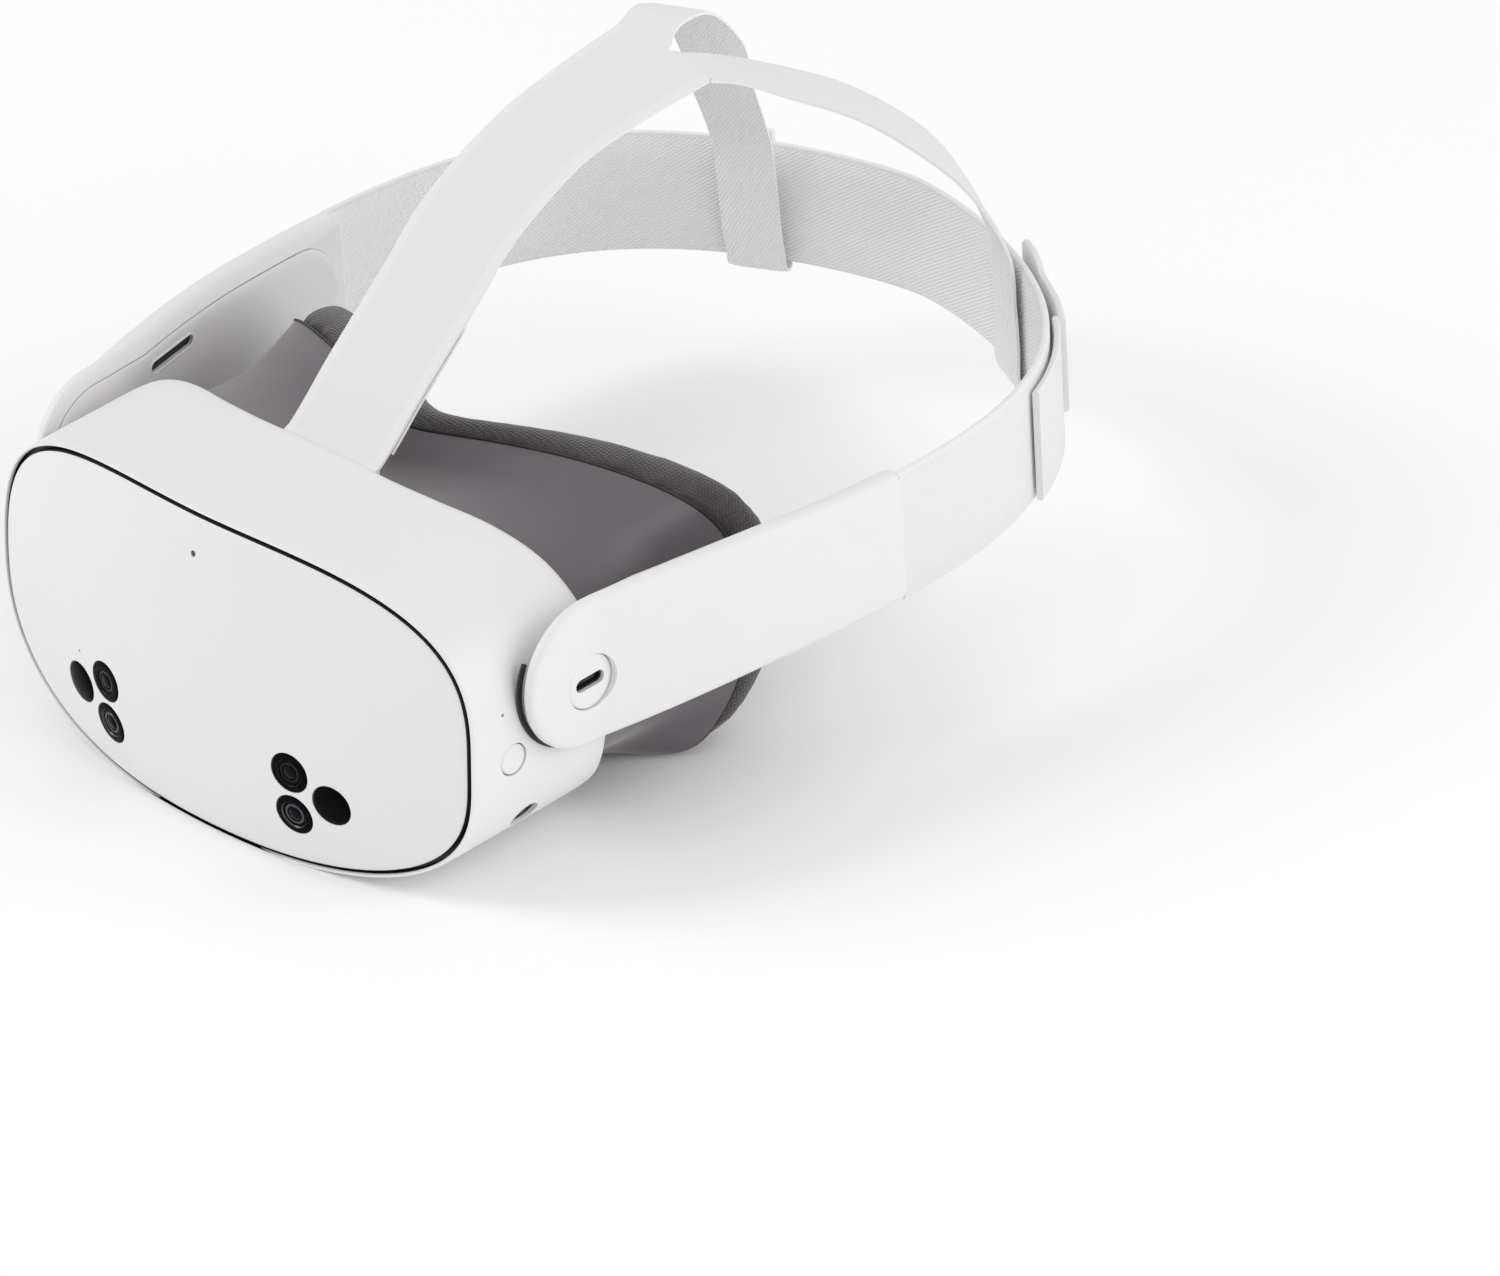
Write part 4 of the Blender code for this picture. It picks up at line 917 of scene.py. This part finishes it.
def speaker_slot(side_name, side):
    """Raised rim round the speaker's slot and the dark mesh inside it."""
    rings = []
    for _, y, z in slot_cutter((0, SPEAKER_Y, SPEAKER_Z), SPEAKER_LENGTH, SPEAKER_HEIGHT, 1.0)[0]:
        dy = y - SPEAKER_Y
        reach = max(0.0, abs(dy) - (SPEAKER_LENGTH - SPEAKER_HEIGHT) / 2)
        out = Vector((math.copysign(reach, dy), z - SPEAKER_Z)).normalized()
        x = arm_inner_x(y)
        section = []
        for k in range(8):
            angle = 2 * math.pi * k / 8
            spread = 0.15 + 0.35 * math.cos(angle)
            proud = x + 0.02 - 0.32 * math.sin(angle)
            section.append((side * proud, y + out[0] * spread, z + out[1] * spread))
        rings.append(section)
    rim = loft("speaker_rim_" + side_name, rings, [WHITE], cyclic=True)
    finish(rim, "head_strap", "white_shell")
    rings = []
    for y in np.linspace(SPEAKER_Y - 11.5, SPEAKER_Y + 11.5, 8):
        x = arm_inner_x(y) + 1.3
        rings.append([(side * x, y, 23.0), (side * (x + 0.3), y, 23.0), (side * (x + 0.3), y, 31.4),
                      (side * x, y, 31.4)])
    mesh = loft("speaker_mesh_" + side_name, rings, [SEAM_AND_GAP_SHADE])
    finish(mesh, "head_strap", "matte_black")


def band_path(start_y, spacing):
    """Even points (x, y) along the strap's outer face, from the left side round to the right."""
    shares = 1 - np.linspace(0, 1, 6000) ** 3
    ys = STRAP_START_Y + STRAP_DEPTH * shares
    half = np.array([(band_x(y), y) for y in ys if y >= start_y])[::-1]
    both = np.vstack([half, (half * (-1, 1))[::-1][1:]])
    steps = np.hypot(*np.diff(both, axis=0).T)
    length = np.concatenate([[0], np.cumsum(steps)])
    marks = np.linspace(0, length[-1], int(length[-1] / spacing) + 1)
    path = np.column_stack([np.interp(marks, length, both[:, k]) for k in (0, 1)])
    slope = np.gradient(path, axis=0)
    slope /= np.hypot(slope[:, 0], slope[:, 1])[:, None]
    normal = np.column_stack([slope[:, 1], -slope[:, 0]])
    away = np.sum(normal * (path - (0.0, 150.0)), axis=1)
    return path, normal * np.where(away < 0, -1, 1)[:, None], marks


def strip_section(inner, outer, low, high, edge):
    """Cross-section of a strap with rounded long edges: (distance out, height) pairs."""
    bend = min(edge, (outer - inner) / 2)
    corners = [(outer, low + edge), (outer, high - edge), (outer - bend * 0.4, high - edge * 0.25),
               ((outer + inner) / 2, high), (inner + bend * 0.4, high - edge * 0.25), (inner, high - edge),
               (inner, low + edge), (inner + bend * 0.4, low + edge * 0.25), ((outer + inner) / 2, low),
               (outer - bend * 0.4, low + edge * 0.25)]
    full = []
    for k, corner in enumerate(corners):
        full.append(corner)
        if k in (0, 5):
            nxt = corners[k + 1]
            full += [(corner[0] + (nxt[0] - corner[0]) * s, corner[1] + (nxt[1] - corner[1]) * s)
                     for s in (0.25, 0.5, 0.75)]
    return full


def strip_material(i, j):
    """Outer face, inner face and edges take three materials."""
    if j < 4:
        return 0
    return 1 if 8 <= j < 12 else 2


def at_station(shift, k):
    """A shift that is a number or changes along the strap."""
    return shift(k) if callable(shift) else shift


def band_strip(name, path, normal, marks, inner, outer, low_shift, high_shift, materials, edge=1.1):
    rings = []
    cloth = []
    for k, ((x, y), (nx, ny), s) in enumerate(zip(path, normal, marks)):
        low = band_bottom(y) + at_station(low_shift, k)
        high = band_top(y) + at_station(high_shift, k)
        ring = []
        for out, height in strip_section(inner, outer, low, high, edge):
            ring.append((x + nx * out, y + ny * out, height))
            cloth.append((s, height, 0.0))
        rings.append(ring)
    return loft(name, rings, materials, band=strip_material, cloth=cloth)


def back_strap():
    path, normal, marks = band_path(ARM_END_Y - 0.4, 2.5)
    strap = band_strip("back_strap_cloth", path, normal, marks, -STRAP_THICKNESS, 0.0, 0.0, 0.0,
                       CLOTH)
    finish(strap, "head_strap", "strap_fabric", "back_strap")
    for side_name, side in SIDES:
        x = path[:, 0] * side
        y = path[:, 1]
        chosen = (x > SLIDER_X[0]) & (x < SLIDER_X[1]) & (y > 225)
        slider(side_name, path[chosen], normal[chosen], marks[chosen])
        chosen = (y > TAIL_Y[0]) & (y < TAIL_Y[1]) & (x > TAIL_X)
        tail = band_strip("strap_tail_cloth_" + side_name, path[chosen], normal[chosen], marks[chosen],
                          1.0, 3.0, 1.0, -3.2, CLOTH, 0.8)
        finish(tail, "head_strap", "strap_fabric", "strap_tail_" + side_name)


def slider(side_name, path, normal, marks):
    """Curved plastic adjuster with a hook over the strap's edge at its inner end."""
    inner_end = min(abs(x) for x, _ in path)
    outer_end = max(abs(x) for x, _ in path)

    def lift(k):
        near = abs(path[k][0]) - inner_end
        far = outer_end - abs(path[k][0])
        round_off = 1.6 * max(0.0, 1 - far / 2.5)
        return (0.8 if near < 6 else max(-4.0, 0.8 - (near - 6) * 0.9)) - round_off

    def drop(k):
        far = outer_end - abs(path[k][0])
        return 1.2 + 1.6 * max(0.0, 1 - far / 2.5)

    piece = band_strip("strap_slider_plate_" + side_name, path, normal, marks, 2.8, 5.2, drop, lift,
                       [WHITE, WHITE, WHITE], 1.0)
    finish(piece, "head_strap", "white_shell", "strap_slider_" + side_name)


# ---------------------------------------------------------------- top strap
TOP_STRAP_KEYS = [(-2, 38.6, 45.5), (-1, 41.2, 46.5), (0, 43.6, 47.7), (1, 50, 53.0), (2, 60, 62),
                  (3, 82, 80), (4, 99, 94), (5, 125, 106), (6, 149, 110.4), (7, 176, 112.8)]
STEM_ROLL = 0.15
LEFT_BRANCH_KEYS = [(0, 9.0, 176, 111.4, 1, 0, -0.15), (1, 11, 187, 107.0, 1, -0.05, -0.2),
                    (2, 15, 200.5, 99.5, 0.95, -0.17, -0.25), (3, 25.5, 225.5, 83.5, 0.88, -0.44, -0.2),
                    (4, 39, 244.5, 62.5, 0.87, -0.41, -0.28), (5, 48.3, 253.8, 38, 0.9, -0.42, -0.1),
                    (6, 50.0, 254.8, 18, 0.9, -0.45, 0), (7, 50.2, 255.1, 4, 0.9, -0.45, 0)]
RIGHT_BRANCH_KEYS = [(0, 9.0, 176, 114.2, 1, 0, 0.15), (1, 11.5, 187, 116.2, 1, -0.05, 0),
                     (2, 17, 202, 108.5, 0.95, -0.2, -0.2), (3, 28, 221, 85.5, 0.85, -0.35, -0.4),
                     (4, 41, 236.5, 62, 0.88, -0.38, -0.3), (5, 48, 249.4, 36, 0.9, -0.42, -0.1),
                     (6, 49.5, 252.4, 18, 0.9, -0.45, 0), (7, 50.0, 253.6, 4, 0.9, -0.45, 0)]
WRAP = [(-4.8, -4.5), (-4.0, -8.6), (-1.4, -10.6), (1.0, -9.6), (1.35, -6.0), (1.35, 2.0), (1.35, 9.0)]
WRAP_ANCHOR = (52.0, 259.0)
WRAP_OUTWARD = (0.423, 0.906)
HALF_COLUMNS = 6


def flat_section(centre, across, normal, half_width, thickness, columns):
    """Two rows of points over and under a flat strap, its edges slightly thinned."""
    upper = []
    lower = []
    for c in range(columns + 1):
        share = 2 * c / columns - 1
        thin = 1.0 if abs(share) < 0.99 else 0.55
        offset = across * half_width * share
        upper.append(centre + offset + normal * thickness / 2 * thin)
        lower.append(centre + offset - normal * thickness / 2 * thin)
    return upper, lower


class Webbing:
    """A flat strap built section by section, with its cloth coordinates."""

    def __init__(self, pitch):
        self.pitch = pitch
        self.points = []
        self.faces = []
        self.index = []
        self.cloth = []

    def add(self, rows, s, shift=0.0):
        """Stores a section's points and returns their numbers."""
        ids = []
        for row in rows:
            ids.append(list(range(len(self.points), len(self.points) + len(row))))
            self.points += [tuple(point) for point in row]
            self.cloth += [(s, shift + c * self.pitch, 0.0) for c in range(len(row))]
        return ids

    def cap(self, section):
        self.faces.append(tuple(section[0] + section[1][::-1]))
        self.index.append(2)

    def connect(self, before, after):
        """Skins between two sections and both of their edges; caps the start."""
        if before is None:
            self.cap(after)
            return
        (up0, low0), (up1, low1) = before, after
        for c in range(len(up0) - 1):
            self.faces.append((up0[c], up0[c + 1], up1[c + 1], up1[c]))
            self.index.append(2 if c in (0, len(up0) - 2) and len(up0) > 8 else 0)
            self.faces.append((low0[c + 1], low0[c], low1[c], low1[c + 1]))
            self.index.append(1)
        for c in (0, -1):
            self.faces.append((up0[c], up1[c], low1[c], low0[c]))
            self.index.append(2)

    def make(self, name, node):
        """The piece, which runs between the visor and the head strap."""
        piece = put(name, self.points, self.faces, CLOTH, self.index, self.cloth, 50.0)
        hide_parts(node)
        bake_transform(piece)


def stem_stations(first, last, count):
    marks = np.linspace(first, last, count)
    centres = np.array([smooth_keys(TOP_STRAP_KEYS, m) for m in marks])
    slopes = np.gradient(centres, axis=0)
    length = np.concatenate([[0], np.cumsum(np.hypot(*np.diff(centres, axis=0).T))])
    stations = []
    for mark, (y, z), (dy, dz), s in zip(marks, centres, slopes, length):
        roll = STEM_ROLL * max(0.0, mark - 5) / 2
        across = Vector((math.cos(roll), 0, -math.sin(roll)))
        normal = across.cross(Vector((0, dy, dz))).normalized()
        stations.append((Vector((0, y, z)), across, normal, s))
    return stations


def branch_stations(side):
    anchor = np.array(WRAP_ANCHOR)
    out = np.array(WRAP_OUTWARD)
    along = (out[1], -out[0], 0.0)
    branch = LEFT_BRANCH_KEYS if side > 0 else RIGHT_BRANCH_KEYS
    route = [smooth_keys(branch, m) for m in np.linspace(0, 7, 60)[1:]]
    _, *end = branch[-1]
    keys = [(-1.0, *end)]
    for number, (distance, height) in enumerate(WRAP):
        keys.append((float(number), *(anchor + out * distance), height, *along))
    route += [smooth_keys(keys, m) for m in np.linspace(-1, len(WRAP) - 1, 46)[1:]]
    route = np.array(route)
    slopes = np.gradient(route[:, :3], axis=0)
    stations = []
    length = 0.0
    for k, (row, slope) in enumerate(zip(route, slopes)):
        if k:
            length += float(np.linalg.norm(row[:3] - route[k - 1][:3]))
        tangent = Vector(slope).normalized()
        across = Vector(row[3:])
        across = (across - tangent * across.dot(tangent)).normalized()
        normal = across.cross(tangent)
        flip = Vector((side, 1, 1))
        stations.append((Vector(row[:3]) * flip, across * flip * side, normal * flip, length))
    return stations


def top_strap():
    web = Webbing(3.0)
    before = None
    for centre, across, normal, s in stem_stations(-2, 7, 110):
        rows = flat_section(centre, across, normal, TOP_STRAP_HALF_WIDTH, TOP_STRAP_THICKNESS,
                            2 * HALF_COLUMNS)
        ids = web.add(rows, s)
        web.connect(before, ids)
        before = ids
    stem_length = s
    for side in (1, -1):
        cut_at = slice(HALF_COLUMNS, None) if side > 0 else slice(0, HALF_COLUMNS + 1)
        last = [row[cut_at] for row in before]
        for centre, across, normal, s in branch_stations(side):
            crotch = 1.6 * (1 - math.exp(-s / 3.0)) * max(0.0, 1 - s / 60)
            centre = centre + across * side * crotch * 0.5
            half = (TOP_STRAP_HALF_WIDTH - crotch) / 2
            rows = flat_section(centre, across, normal, half, TOP_STRAP_THICKNESS, HALF_COLUMNS)
            ids = web.add(rows, stem_length + s, HALF_COLUMNS * web.pitch if side > 0 else 0.0)
            web.connect(last, ids)
            last = ids
        web.cap(last)
    web.make("top_strap_cloth", "top_strap")
    top_strap_tab()
    plate = [[(x, 41.6, 44.3), (x, 43.2, 44.3), (x, 43.2, 45.5), (x, 41.6, 45.5)] for x in (-17.0, 0.0, 17.0)]
    finish(loft("top_strap_bar", plate, [WHITE]), "visor", "white_shell", "top_strap_anchor")


def top_strap_tab():
    """Loose end of the strap folded back under the stem."""
    web = Webbing(2.9)
    before = None
    stations = stem_stations(0.55, 3.0, 30)
    for centre, across, normal, s in stations:
        remaining = stations[-1][3] - s
        half = TOP_STRAP_HALF_WIDTH - 0.6
        if remaining < 9:
            half = half - 9 + math.sqrt(max(0.0, 81 - (9 - remaining) ** 2))
        centre = centre - normal * (TOP_STRAP_THICKNESS + 0.5)
        rows = flat_section(centre, across, normal, half, TOP_STRAP_THICKNESS, 2 * HALF_COLUMNS)
        ids = web.add(rows, s)
        web.connect(before, ids)
        before = ids
    web.cap(before)
    web.make("top_strap_tab_cloth", "top_strap_tab")


# ---------------------------------------------------------------- facial interface
CUSHION_KEYS = [(-1.0, 0, 66, -24), (-0.93, 11, 68, -31), (-0.84, 22, 75, -43), (-0.74, 42, 90, -46.6),
                (-0.64, 62, 100, -46.6), (-0.52, 79, 111, -45.2), (-0.4, 82, 122, -36),
                (-0.2, 85.5, 128, -18), (0.0, 86, 129, 0), (0.2, 84.5, 125.5, 19), (0.4, 78, 116.5, 33),
                (0.6, 58, 107, 40.2),
                (0.8, 32, 97.5, 42.2), (1.0, 0, 83, 43)]
CUSHION_CENTRE_Z = -2.0
SIM_FRAMES = 20
SWELL_CAP = 1.6 * MM       # furthest the foam swells, and half of it towards the face
FLOOR_CLEARANCE = 0.3 * MM


def cushion_edge(index):
    quarter = index / (SEGMENTS / 4)
    side = 1
    if 1 < quarter < 3:
        side = -1
        quarter = 2 - quarter
    elif quarter >= 3:
        quarter -= 4
    x, y, z = smooth_keys(CUSHION_KEYS, quarter)
    return side * abs(x), y, max(z, 0.4 - LIFT)


def soften(values, passes):
    """Evens out a closed list of points."""
    table = np.array(values, float)
    for _ in range(passes):
        table = (np.roll(table, 1, axis=0) + 2 * table + np.roll(table, -1, axis=0)) / 4
    table[:, 2] = np.maximum(table[:, 2], 0.4 - LIFT)
    return [tuple(row) for row in table]


EDGES = soften([cushion_edge(index) for index in range(SEGMENTS)], 6)


def pulled_in(point, amount):
    x, y, z = point
    height = z - CUSHION_CENTRE_Z
    distance = math.hypot(x, height)
    share = (distance - amount) / distance
    return x * share, y, CUSHION_CENTRE_Z + height * share


def facial_frame():
    keys = [(0.0, 0.0), (0.12, 1.6), (0.35, 4.2), (0.6, 4.6), (0.82, 2.6), (1.0, 0.8)]
    wall = 2.0
    shares = np.linspace(0, 1, 22)

    def ring(share, extra):
        pinch = float(smooth_keys(keys, share)[0])
        points = []
        for index, angle in enumerate(ANGLES):
            high = min(1.0, max(0.0, outline(angle, 0.0)[1] / 30))
            x, z = outline(angle, -3.0 - 2.4 * high)
            low = min(1.0, max(0.0, -z / 30))
            start = np.array((x, REARS[index] - 3.0, z))
            edge = EDGES[index]
            end = np.array((edge[0], edge[1] - FRAME_REACH, edge[2]))
            points.append(pulled_in(start + (end - start) * share, pinch * (1 - 0.58 * low) + extra))
        return points

    rings = [ring(share, 0.0) for share in shares]
    rings.append(ring(1.0, 0.3))
    rings += [ring(share, wall) for share in shares[::-1]]
    piece = loft("facial_frame_skin", rings, [GREY], cyclic=True)
    finish(piece, "facial_interface", "frame_grey", "facial_frame")


def cushion_rings(section):
    rings = []
    for edge in EDGES:
        ring = []
        for inward, forward in section:
            x, y, z = pulled_in(edge, inward)
            ring.append((x, y - forward, z))
        rings.append(ring)
    return rings


def face_cushion():
    """Foam ring under knit: inflated by simulation, held at its front seam."""
    control = [(2.4, 16.4), (0.9, 14.6), (0.5, 11.0), (0.7, 6.4), (2.2, 2.6), (4.6, 0.8), (7.4, 0.4),
               (10.2, 1.8), (12.0, 5.2), (12.4, 10.0), (11.8, 14.4), (10.6, 16.4)]
    ring = loft("face_cushion_knit", cushion_rings(control), [KNIT], cyclic=True, sharp=60)
    inflate(ring)
    finish(ring, "facial_interface", "cushion_knit", "face_cushion")
    section = [(0.4, 16.8), (0.15, 16.4), (0.4, 16.0), (1.6, 15.9), (1.8, 16.4), (1.6, 16.8)]
    seam = loft("cushion_seam", cushion_rings(section), [SEAM_AND_GAP_SHADE], cyclic=True)
    finish(seam, "facial_interface", "matte_black")


def inflate(obj):
    """Cloth pressure on a remeshed copy, with the movement capped and the front seam kept."""
    remesh = obj.modifiers.new("remesh", "REMESH")
    remesh.mode = "VOXEL"
    remesh.voxel_size = 3.2 * MM
    even = evaluated(obj)
    obj.modifiers.clear()
    obj.data = even
    rest = np.array([v.co for v in even.vertices], float)
    cloth = obj.modifiers.new("cloth", "CLOTH")
    cloth.settings.use_pressure = True
    cloth.settings.uniform_pressure_force = 4.0
    cloth.settings.effector_weights.gravity = 0.0
    cloth.settings.quality = 5
    scene = bpy.context.scene
    cloth.point_cache.frame_start = 1
    cloth.point_cache.frame_end = SIM_FRAMES
    for number in range(1, SIM_FRAMES + 1):
        scene.frame_set(number)
    moved = np.array([v.co for v in evaluated(obj).vertices], float)
    obj.modifiers.clear()
    scene.frame_set(1)
    step = moved - rest
    reach = np.linalg.norm(step, axis=1)
    scale = np.where(reach > SWELL_CAP, SWELL_CAP / np.maximum(reach, 1e-9), 1.0)
    step *= scale[:, None]
    step[:, 1] = np.minimum(step[:, 1], SWELL_CAP / 2)
    final = rest + step * front_share(rest)[:, None]
    final[:, 2] = np.maximum(final[:, 2], FLOOR_CLEARANCE)
    even.vertices.foreach_set("co", final.ravel())
    even.materials.clear()
    even.materials.append(KNIT)
    even.shade_smooth()
    even.update()
    finer = obj.modifiers.new("finer", "SUBSURF")
    finer.levels = 1
    finer.render_levels = 1
    smooth = evaluated(obj)
    obj.modifiers.clear()
    obj.data = smooth
    smooth.shade_smooth()


def front_share(points):
    """0 at the cushion's front seam, 1 from 6 mm behind it."""
    edges = np.array(EDGES)
    angles = np.arctan2(edges[:, 2] - CUSHION_CENTRE_Z, edges[:, 0])
    order = np.argsort(angles)
    turn = np.arctan2(points[:, 2] / MM - LIFT - CUSHION_CENTRE_Z, points[:, 0] / MM)
    seam = np.interp(turn, angles[order], edges[order, 1], period=2 * math.pi) - CUSHION_SEAM
    return np.clip((points[:, 1] / MM - seam) / 6.0, 0.0, 1.0)


# ---------------------------------------------------------------- behind the lenses
def rear_panel():
    """Fabric-covered panel with a window for each lens."""
    centre = PANEL_Y
    scales = (0.2, 0.4, 0.6, 0.78, 0.88, 0.93, 0.96, 1.0)

    def ring(scale, depth):
        points = []
        for index, angle in enumerate(ANGLES):
            x, z = outline(angle, -7.8)
            rise = max(0.0, (scale - 0.93) / 0.07)
            y = centre + (REARS[index] - 9.0 - centre) * rise
            points.append((x * scale, y + depth, z * scale))
        return points

    rings = [ring(scale, 0.1) for scale in scales] + [ring(scale, 1.9) for scale in reversed(scales)]
    panel = loft("lens_panel", rings, [PANEL], poles=((0, centre + 0.1, 0), (0, centre + 1.9, 0)))
    for _, side in SIDES:
        drill(panel, (side * 31.5, centre, 0), (0, 1, 0), 28.2, 30, 96)
    for number in (1, 2, 3, 4):
        spot = node_centre(f"housing_screw_{number}")
        drill(panel, (spot.x, centre, spot.z), (0, 1, 0), 1.7, 30, 24)
    finish(panel, "visor", "frame_grey", "inner_housing")
    for number in (1, 2, 3, 4):
        spot = node_centre(f"housing_screw_{number}")
        head = [(2.6, 37.5), (2.6, 38.6), (2.3, 39.2), (1.5, 39.4), (0.9, 39.4), (0.8, 38.7), (0.3, 38.6)]
        screw = turned(f"screw_head_{number}", (spot.x, 0, spot.z), (0, 1, 0), head, [METAL], 40, poles=True)
        finish(screw, "visor", "bare_metal", f"housing_screw_{number}")


def optics():
    for side_name, _ in SIDES:
        body = side_name + "_lens"
        x = node_centre("lens_" + side_name).x
        profile = [(21.0, 15.0), (22.6, 15.0), (23.6, 34.0), (24.0, 38.0), (24.0, 43.2), (23.7, 43.8),
                   (23.2, 44.0), (22.4, 43.8), (22.0, 43.2), (21.9, 38.0), (21.9, 33.0), (21.2, 32.6)]
        turn = Vector((0, 0, 1)).rotation_difference(Vector((0, 1, 0))).to_matrix()
        rings = []
        for angle in np.linspace(0, 2 * math.pi, 96, endpoint=False):
            way = Vector((math.cos(angle), math.sin(angle), 0))
            rings.append([Vector((x, 0, 0)) + turn @ (way * r + Vector((0, 0, h))) for r, h in profile])
        barrel = loft("barrel_" + side_name, rings, [BLACK], cyclic=True)
        finish(barrel, body, "matte_black", "lens_barrel_" + side_name)
        glass = [(20.6, 33.7), (21.5, 35.2), (21.5, 38.2), (20.8, 38.9), (19.0, 39.8), (16.0, 41.0),
                 (13.0, 41.9), (10.0, 42.5), (7.0, 42.9), (3.5, 43.1), (0.8, 43.15)]
        lens = turned("eye_lens_" + side_name, (x, 0, 0), (0, 1, 0), glass, [EYE], 96, poles=True, cloth=True)
        finish(lens, body, "lens_glass", "lens_" + side_name)


# ---------------------------------------------------------------- carried-over nodes
def dress_inner_nodes():
    """Procedural materials on the CAD nodes that are shown as they are."""
    board = satin_plastic("solder_mask", (0.02, 0.09, 0.04), 0.35).material
    looks = {"gloss_black": GLOSS, "matte_black": BLACK, "bare_metal": METAL, "circuit_board": board,
             "white_shell": WHITE, "frame_grey": GREY, "strap_fabric": STRAP_OUT, "cushion_knit": KNIT,
             "lens_glass": EYE}
    for part in frame["record"]["subparts"]:
        obj = frame["nodes"][part["node"]]
        if obj.hide_render:
            continue
        obj.data.materials.clear()
        obj.data.materials.append(looks[part["material_slot"]])


# ---------------------------------------------------------------- stage
def stage():
    floor_look = Look("floor", (0.99, 0.99, 0.99), 0.9)
    floor_look.vary_color(floor_look.noise(6.0), 0.995, 1.005)
    mesh = bpy.data.meshes.new("floor")
    reach = 12.0
    corners = [(-reach, -reach, 0), (reach, -reach, 0), (reach, reach, 0), (-reach, reach, 0)]
    mesh.from_pydata(corners, [], [(0, 1, 2, 3)])
    mesh.materials.append(floor_look.material)
    floor = bpy.data.objects.new("floor", mesh)
    bpy.context.scene.collection.objects.link(floor)


def soft_light(name, place, target, size, power):
    data = bpy.data.lights.new(name, "AREA")
    data.shape = "DISK"
    data.size = size
    data.energy = power
    light = bpy.data.objects.new(name, data)
    light.location = place
    light.rotation_euler = (Vector(target) - Vector(place)).to_track_quat("-Z", "Y").to_euler()
    bpy.context.scene.collection.objects.link(light)


def lighting():
    world = bpy.data.worlds.new("studio")
    bpy.context.scene.world = world
    world.use_nodes = True
    background = world.node_tree.nodes["Background"]
    background.inputs["Color"].default_value = (1.0, 1.0, 1.0, 1.0)
    background.inputs["Strength"].default_value = 0.735
    soft_light("key", (-1.65, -1.4, 1.75), (0, 0.1, 0.05), 1.5, 22)
    soft_light("side", (2.2, 0.9, 1.2), (0, 0.1, 0.05), 2.4, 22)


def camera():
    """The photograph's view, from one fit to the face, the cameras and the strap."""
    azimuth, elevation, roll = (math.radians(a) for a in (46.22, 31.55, -3.37))
    aside = 141.02
    above = 4.79
    back = Vector((math.sin(azimuth) * math.cos(elevation), -math.cos(azimuth) * math.cos(elevation),
                   math.sin(elevation)))
    level = Vector((math.cos(azimuth), math.sin(azimuth), 0))
    upright = back.cross(level)
    right = level * math.cos(roll) + upright * math.sin(roll)
    up = -level * math.sin(roll) + upright * math.cos(roll)
    place = right * aside + up * above + back * CAMERA_DISTANCE
    data = bpy.data.cameras.new("camera")
    data.sensor_width = 36.0
    data.lens = 291.98
    data.clip_end = 50.0
    cam = bpy.data.objects.new("camera", data)
    turn = Matrix((right, up, back)).transposed().to_4x4()
    cam.matrix_world = Matrix.Translation((place + Vector((0, 0, LIFT))) * MM) @ turn
    bpy.context.scene.collection.objects.link(cam)
    bpy.context.scene.camera = cam
    bpy.context.scene.view_settings.view_transform = "Standard"


for build in (camera, stage, lighting, visor_shell, faceplate, groove, front_cameras, infrared_discs,
              side_cameras, status_light, power_button, bottom_keys, pivot_hubs, side_arms, back_strap,
              top_strap, facial_frame, face_cushion, rear_panel, optics, dress_inner_nodes):
    build()
